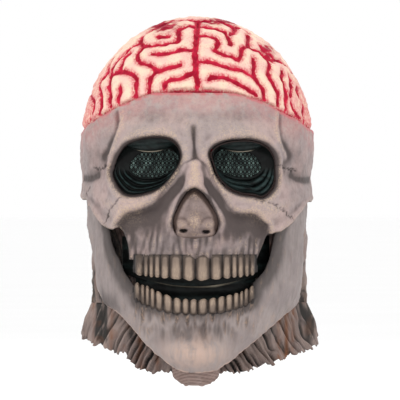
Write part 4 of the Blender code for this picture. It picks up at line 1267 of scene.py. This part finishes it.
def fringe(name, start, end, look, node):
    """One pleated length of the hem."""
    turn, down = grid(math.radians(start), math.radians(end), 0, 1, 0.0085)
    low = hem_bottom(turn)
    z = HEM_TOP + (low - HEM_TOP) * down
    fold = pleats(turn, z)
    grow = 0.45 + 0.55 * smooth(down, 0, 0.55)
    middle = smooth(np.abs(turn), math.radians(9), math.radians(22))
    pleat = 3.0 - 0.8 * fade(np.abs(turn), 1.1, 1.4) * fade(down, 0.5, 0.9)
    stand = -1.4 * fade(down, 0, 0.1) + pleat * grow * fold * middle + 0.6 * down
    right = 10.0 * fade(down, 0.7, 1.1) * fade(turn, 1.4, 1.55)
    left = 2.5 * fade(down, 0.35, 0.85) * fade(-turn, 1.15, 1.45)
    stand -= np.where(turn > 0, right, left)
    stand += BULGE * smooth(turn, 1.42, 1.58) * fade(turn, 1.75, 2.3) - 4.5 * (1 - middle)
    points = hem_point(turn, z, stand)
    points[..., 2] += 0.6 * waves(points, 12, 57) * down
    x = points[..., 0]
    front = points[..., 1] < 20
    # dark: painted shade in the pleats' hollows, painted shadow in the deepest folds, and fine streaks; line
    # adds painted shade at the bottoms of the folds
    dark = 0.85 * smooth(-fold, 0, 1) * (0.35 + 0.65 * grow)
    rust = 0.25 * smooth(waves(points, 14, 58), 0.4, 1.6)
    for place, reach, strength in SHADOW_FOLDS:
        dark += strength * ridge(x - place - SHIFT * 0.4, reach) * front * smooth(z, 34, 50)
    for place, reach, strength in RUST_FOLDS:
        rust += strength * ridge(x - place, reach) * front
    strand = waves(np.concatenate([fold_place(turn, z)[..., None], 0.1 * z[..., None]], -1), 2.6, 59)
    dark += 0.2 * smooth(strand, 0.2, 1.4)
    warm = 0.6 * smooth(fold, 0.1, 1.2) + 0.25 * smooth(-strand, 0.3, 1.5)
    line = 0.45 * smooth(-fold, 0.7, 1.3) + 0.25 * smooth(strand, 1.0, 2.0)
    paint = latex_paint(dark, warm, line, np.clip(rust, 0, 1))
    made = add_grid(name, points[::-1], paint={key: value[::-1] for key, value in paint.items()})
    join_body(made, look, "hem", "head", node, thickness=1.6)


def throat(look):
    """The throat tab below the chin, ringed with fine wrinkles."""
    t, across = np.meshgrid(np.linspace(0, 1, 84), np.linspace(-1, 1, 44), indexing="ij")
    z = 70 * t
    half = 20.6 + 3.2 * np.sin(math.pi * t) - 9 * fade(z, -2, 9) ** 1.5
    x = across * half
    low = 1.6 * np.abs(across) ** 3
    z = z + low * (1 - t)
    ring = np.sin(2 * math.pi * (z + 0.01 * x ** 2 + 0.5 * np.sin(x * 0.2)) / 3.1)
    stand = 0.45 * ring + 0.3 * waves(joined(x, z), 9, 61)
    y = -(68.5 - 0.006 * x * x + stand)
    # dark: painted shade in the wrinkles' valleys and painted shadow towards the top, under the chin
    dark = 0.3 * smooth(-ring, 0.1, 1) + 0.2 * smooth(np.abs(across), 0.8, 1) + 0.3 * smooth(z, 14, 26)
    warm = 0.5 * smooth(ring, 0.3, 1)
    paint = latex_paint(dark, warm, 0.35 * smooth(-ring, 0.75, 1), 0.25 + 0 * x)
    made = add_grid("throat_latex", joined(x, y, z), paint=paint)
    join_body(made, look, "skin", "head", "throat_tab", thickness=1.6)


def head_skin(look):
    """Back and sides of the head, slit up the back of the neck."""
    whole = 2 * ARCS[-1]

    def turn_of(arc):
        return np.interp(arc, np.concatenate([ARCS, whole - ARCS[-2::-1]]),
                         np.concatenate([TURNS, 2 * math.pi - TURNS[-2::-1]]))

    def surface(arc, z):
        scale = dome_scale(z)
        turn = turn_of(arc)
        stand = BULGE * smooth(turn, 1.42, 1.58) * fade(turn, 1.75, 2.3) * fade(z, 120, 172)
        beside = np.minimum(turn, 2 * math.pi - turn)
        clear = np.where(turn < math.pi, 5.0, 2.4)
        stand = stand - clear * fade(beside, 1.25, 1.54) * fade(z, 150, 180)
        x, y = section(turn, profile(SKIN_HALF_WIDTH, z) * scale + stand, profile(SKIN_FRONT, z) * scale,
                       (profile(SKULL_BACK, z) - SKIN_STEP) * scale)
        return joined(x, y, z)

    def material(arc, z):
        y = surface(arc, z)[..., 1]
        ahead = y - np.interp(z, (60, 150, 172, 180), (-63, -58, -18, -18))
        off = np.abs(arc - whole / 2)
        slit = np.where(z < 140, off - 3.0 + 0.022 * (z - 60), np.hypot(off, z - 140) - 1.2)
        return np.minimum(ahead, slit)

    start = arc_at(math.radians(38))
    spacing = 1.35
    arc, rise = sheet(start, whole - start, 160, spacing)
    rim = surface(arc, 200)
    top = lip_height(rim[..., 1]) - 0.5
    z = 77 + (top - 77) * rise
    arc, z, keep = trim(arc, z, material, spacing)
    base = surface(arc, z)
    y = base[..., 1]
    turn = turn_of(arc)
    around = np.where(turn > math.pi, turn - 2 * math.pi, turn)
    behind = smooth(y, 10, 60)
    nape = behind * fade(z, 110, 165)
    rolls = np.sin(z / 4.6 + 1.3 * waves(base, 60, 71))
    slit = material(arc, z)
    detail = 0.9 * waves(base, 44, 72) + 0.45 * waves(base, 17, 73) + 0.2 * waves(base, 7, 74)
    wrinkle = np.exp(-(waves(base, 34, 75) / 0.16) ** 2)
    vein = np.exp(-(waves(base, 58, 76) / 0.07) ** 2) * smooth(z, 120, 160) * behind
    detail += 1.3 * nape * rolls - 0.45 * wrinkle + 0.5 * vein
    hem = 1 - smooth(z, 84, 128)
    fold = pleats(around, z)
    detail += 1.9 * hem * (1 - 0.75 * behind) * fold - 0.7 * ridge(slit, 1.3)
    detail -= 0.8 * ridge(top - z, 2.0)
    hollows, highs = relief_paint(detail, 4, 0.9)
    shadow = 1 - smooth(y, -60, -6)
    # dark: the wash and painted shade in the hollows and pleats, and painted shadow on the front behind the
    # jaw and cheekbones (shadow), under the brain's rim and in the dark pleats beside the jaw
    dark = 0.5 * hollows + 0.25 * wrinkle + 0.9 * shadow + 0.35 * nape
    dark += hem * 0.5 * np.clip(-fold, 0, 1) + 0.5 * fade(top - z, 0, 8)
    x = base[..., 0]
    dark += 0.9 * (ridge(x + 98, 3.5) + ridge(x - 103, 3)) * hem * (y < 0)
    warm = 0.6 * highs + 0.35 * vein + 0.5 * ridge(slit - 1.2, 1.2)
    line = 0.1 * wrinkle + 0.5 * ridge(slit, 0.8) * (y > 60)
    rosy = 0.25 * smooth(waves(base, 30, 77), 0.6, 1.6) + 0.4 * vein
    points = base + normals(surface, arc, z) * detail[..., None]
    made = add_grid("head_skin_latex", points, keep, paint=latex_paint(dark, warm, line, rosy))
    join_body(made, look, "skin", "head", "head_skin", thickness=1.8)


# --- pads, elastics and rivets ---------------------------------------------------------------

def pad(name, place, level, upright, look, body, node):
    """A soft block: a rounded form whose -1 to 1 coordinates are laid out by place."""
    turn, tilt = np.meshgrid(np.linspace(0, 2 * math.pi, 96, endpoint=False),
                             np.linspace(-math.pi / 2 + 0.03, math.pi / 2 - 0.03, 40))

    def power(value, n):
        return np.sign(value) * np.abs(value) ** (2 / n)

    out = power(np.cos(tilt), upright)
    points = place(out * power(np.cos(turn), level), out * power(np.sin(turn), level),
                   power(np.sin(tilt), upright))
    points = points + 0.12 * np.stack([waves(points, 5, seed) for seed in (81, 82, 83)], -1)
    made = add_grid(name, points, wrap=True, cap=True, floor=True)
    join_body(made, look, "foam", body, node)


def pads(look):
    """Foam at the crown, the forehead and the chin, each shaped to what it rests against."""
    def crown(a, b, c):
        x, y = 41.5 * a, 41.5 * b
        reach = np.hypot(x / 110.5, y / np.where(y < 0, 114.0, 126.0))
        ceiling = EQUATOR + (CROWN - EQUATOR) * np.sqrt(1 - reach ** 2) - SKULL_THICK - 4.0
        return joined(x, y, DATUM + 0.15 + (ceiling - DATUM - 0.3) * (c + 1) / 2)

    def forehead(a, b, c):
        x, z = 39.6 * a, 248 + 9.6 * c
        inner = face_depth(x, z) - SKULL_THICK - 6.9 - 0.002 * x * x
        return joined(x, -inner + 3.3 * (1 + b), z)

    def chin(a, b, c):
        x, z = 25.6 * a, 52 + 7.6 * c
        front = -(jaw_depth(x, z) - JAW_THICK - 3.6)
        rear = -90.5 - 0.004 * x * x
        return joined(x, front + (rear - front) * (1 + b) / 2, z)

    pad("crown_foam", crown, 2, 7, look, "head", "crown_pad")
    pad("forehead_foam", forehead, 5, 5, look, "head", "forehead_pad")
    pad("chin_foam", chin, 5, 5, look, "jaw", "chin_pad")


def foam_look():
    """Dark open-cell foam."""
    look = Look("grey_foam", 0.95, 0.2)
    cell = look.cells(1.6)
    shade = look.mix(look.blend(cell, 0.1, 0.6), rgb(52, 52, 55), rgb(104, 104, 108))
    look.colour(look.patches(18, 0.4, 0.7, shade, rgb(86, 84, 84)))
    look.relief(cell, 0.5, 0.8)
    return look.material


def elastic(side, word, look):
    """A ribbed elastic band inside the cheek, from the cheekbone to the jaw."""
    low, high = 126, 172
    z, across = np.meshgrid(np.linspace(low, high, 70), np.linspace(-60, -50, 15), indexing="ij")
    reach = section_depth(profile(JAW_FRONT, z), jaw_width(z), across)
    share = (z - low) / (high - low)
    rib = 0.16 * np.cos(math.pi * (across + 60))
    x = side * (reach - JAW_THICK - 2.4 - np.sin(math.pi * share) + rib)
    points = joined(x, across, z + 0.1 * np.sin(across * 6))
    made = add_grid(f"cheek_elastic_{word}", points if side > 0 else points[:, ::-1])
    made.data.materials.append(look)
    thicken(made, 1.0)
    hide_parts(f"jaw_elastic_{word}")
    start, end = to_frame([(side * 86, -55, high), (side * 86, -55, low)])
    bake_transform(made)


def elastic_look():
    """Black woven elastic."""
    look = Look("woven_elastic", 0.85, 0.3)
    weave = look.noise(0.7, 2, (1, 1, 3))
    look.colour(look.mix(look.blend(weave, 0.4, 0.6), rgb(22, 22, 24), rgb(58, 58, 60)))
    look.relief(weave, 0.3, 0.7)
    return look.material


def rivet_look():
    """Scuffed dark plastic."""
    look = Look("rivet_plastic", 0.4, 0.5)
    scuff = look.blend(look.noise(2.5, 5, rough=0.7), 0.5, 0.7)
    look.colour(look.mix(scuff, rgb(30, 30, 31), rgb(66, 64, 62)))
    look.relief(look.noise(1.5, 3), 0.12, 0.5)
    return look.material


# --- stage -----------------------------------------------------------------------------------

def camera():
    """Level and far off, one degree to the right of straight ahead."""
    reach, frame_width, sensor = 5.0, 0.380, 36.0
    lens = bpy.data.cameras.new("camera")
    lens.sensor_width = sensor
    lens.lens = sensor * reach / frame_width
    lens.clip_end = 100
    made = placed("camera", lens)
    aim = np.array([0.0028, 0.0, (174.0 - DATUM) * MM])
    made.location = aim + reach * np.array([math.sin(VIEW_TURN), -math.cos(VIEW_TURN), 0])
    made.rotation_euler = (math.radians(90), 0, VIEW_TURN)
    bpy.context.scene.camera = made


def light(name, place, size, power, tint=(1, 1, 1)):
    """A round soft light aimed at the mask."""
    lamp = bpy.data.lights.new(name, "AREA")
    lamp.shape = "DISK"
    lamp.size = size
    lamp.energy = power
    lamp.color = tint
    made = placed(name, lamp)
    made.location = place
    aim = np.array([0, 0, -0.15]) - np.array(place)
    made.rotation_mode = "QUATERNION"
    made.rotation_quaternion = Vector(aim).to_track_quat("-Z", "Y")


def studio():
    """Soft lights over a wide pale floor, in front of white."""
    light("key", (-0.9, -2.0, 1.3), 0.9, 9, (1.0, 0.985, 0.96))
    light("fill", (1.5, -1.9, 0.3), 1.4, 2, (0.95, 0.97, 1.0))
    light("rear", (0.4, 2.0, 1.4), 1.2, 8)
    world = bpy.data.worlds.new("white_room")
    world.use_nodes = True
    ground = world.node_tree.nodes["Background"]
    ground.inputs["Color"].default_value = (1, 1, 1, 1)
    ground.inputs["Strength"].default_value = 1.0
    bpy.context.scene.world = world
    mesh = bpy.data.meshes.new("floor")
    reach, level = 60.0, (FLOOR - DATUM) * MM
    mesh.from_pydata([(-reach, -reach, level), (reach, -reach, level), (reach, reach, level),
                      (-reach, reach, level)], [], [(0, 1, 2, 3)])
    floor = placed("floor", mesh)
    look = Look("pale_floor", 0.9, 0.1)
    look.colour(look.mix(look.noise(400, 2), rgb(251, 251, 251), rgb(255, 255, 255)))
    mesh.materials.append(look.material)
    bpy.context.scene.view_settings.view_transform = "Standard"


def build():
    """Every piece with its material."""
    camera()
    bone = latex("bone_latex", rgb(188, 165, 161), rgb(172, 156, 154), rgb(72, 62, 60), rgb(212, 186, 158),
                 rgb(44, 34, 34), rosy=rgb(200, 112, 116))
    jaw = latex("jaw_bone_latex", rgb(162, 150, 147), rgb(150, 138, 136), rgb(86, 78, 76),
                rgb(190, 158, 134), rgb(44, 38, 37), rosy=rgb(200, 172, 158), streak=(1, 1, 4))
    flesh = latex("nose_flesh_latex", rgb(172, 150, 143), rgb(160, 142, 138), rgb(70, 54, 48),
                  rgb(206, 178, 150), rgb(24, 16, 16))
    tooth = latex("tooth_latex", rgb(160, 140, 124), rgb(144, 126, 113), rgb(70, 58, 51), rgb(182, 160, 138),
                  rgb(30, 25, 24), roughness=0.5, streak=(1, 1, 3))
    # the throat tab's latex is a lighter copy of the head skin's, painted light that offsets the shade under
    # the chin
    tab = latex("throat_tab_latex", rgb(176, 154, 147), rgb(164, 144, 137), rgb(98, 84, 79),
                rgb(190, 166, 150), rgb(64, 54, 50), rosy=rgb(176, 140, 130), streak=(1, 1, 2))
    skin = latex("head_skin_latex", rgb(150, 133, 127), rgb(138, 122, 117), rgb(48, 44, 42),
                 rgb(164, 138, 118), rgb(28, 24, 23), rosy=rgb(140, 104, 96), streak=(1, 1, 2))
    hem = latex("hem_latex", rgb(154, 136, 129), rgb(138, 122, 117), rgb(44, 42, 40), rgb(174, 154, 142),
                rgb(24, 24, 22), rosy=rgb(128, 84, 58), streak=(1, 1, 4))
    black = black_latex()
    skull_face(bone)
    brain_cap(brain_latex())
    jaw_shell(jaw)
    tooth_rows(tooth)
    screen = mesh_look("black_screen", rgb(7, 8, 8), rgb(14, 16, 15), 3)
    # pale gauze colours: painted light showing through the eye screens' holes
    gauze = mesh_look("gauze_painted_backlight", rgb(60, 76, 74), rgb(146, 176, 168), 7)
    for side, word, outline in ((-1, "left", SOCKET_LEFT), (1, "right", SOCKET_RIGHT)):
        eye_socket(outline, word, black)
        eye_screen(side, word, screen, gauze)
    nose(flesh)
    mouth_liners(black)
    head_skin(skin)
    fringe("hem_front_right", 9.5, 97, hem, "neck_fringe_right")
    fringe("hem_rear_right", 97, 178.5, hem, "neck_fringe_rear_right")
    fringe("hem_rear_left", -178.5, -97, hem, "neck_fringe_rear_left")
    fringe("hem_front_left", -97, -9.5, hem, "neck_fringe_left")
    throat(tab)
    pads(foam_look())
    band = elastic_look()
    elastic(-1, "left", band)
    elastic(1, "right", band)
    rivet = rivet_look()
    for word in ("left", "right"):
        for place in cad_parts[f"jaw_rivet_{word}"].material_slots:
            place.material = rivet
    studio()


build()
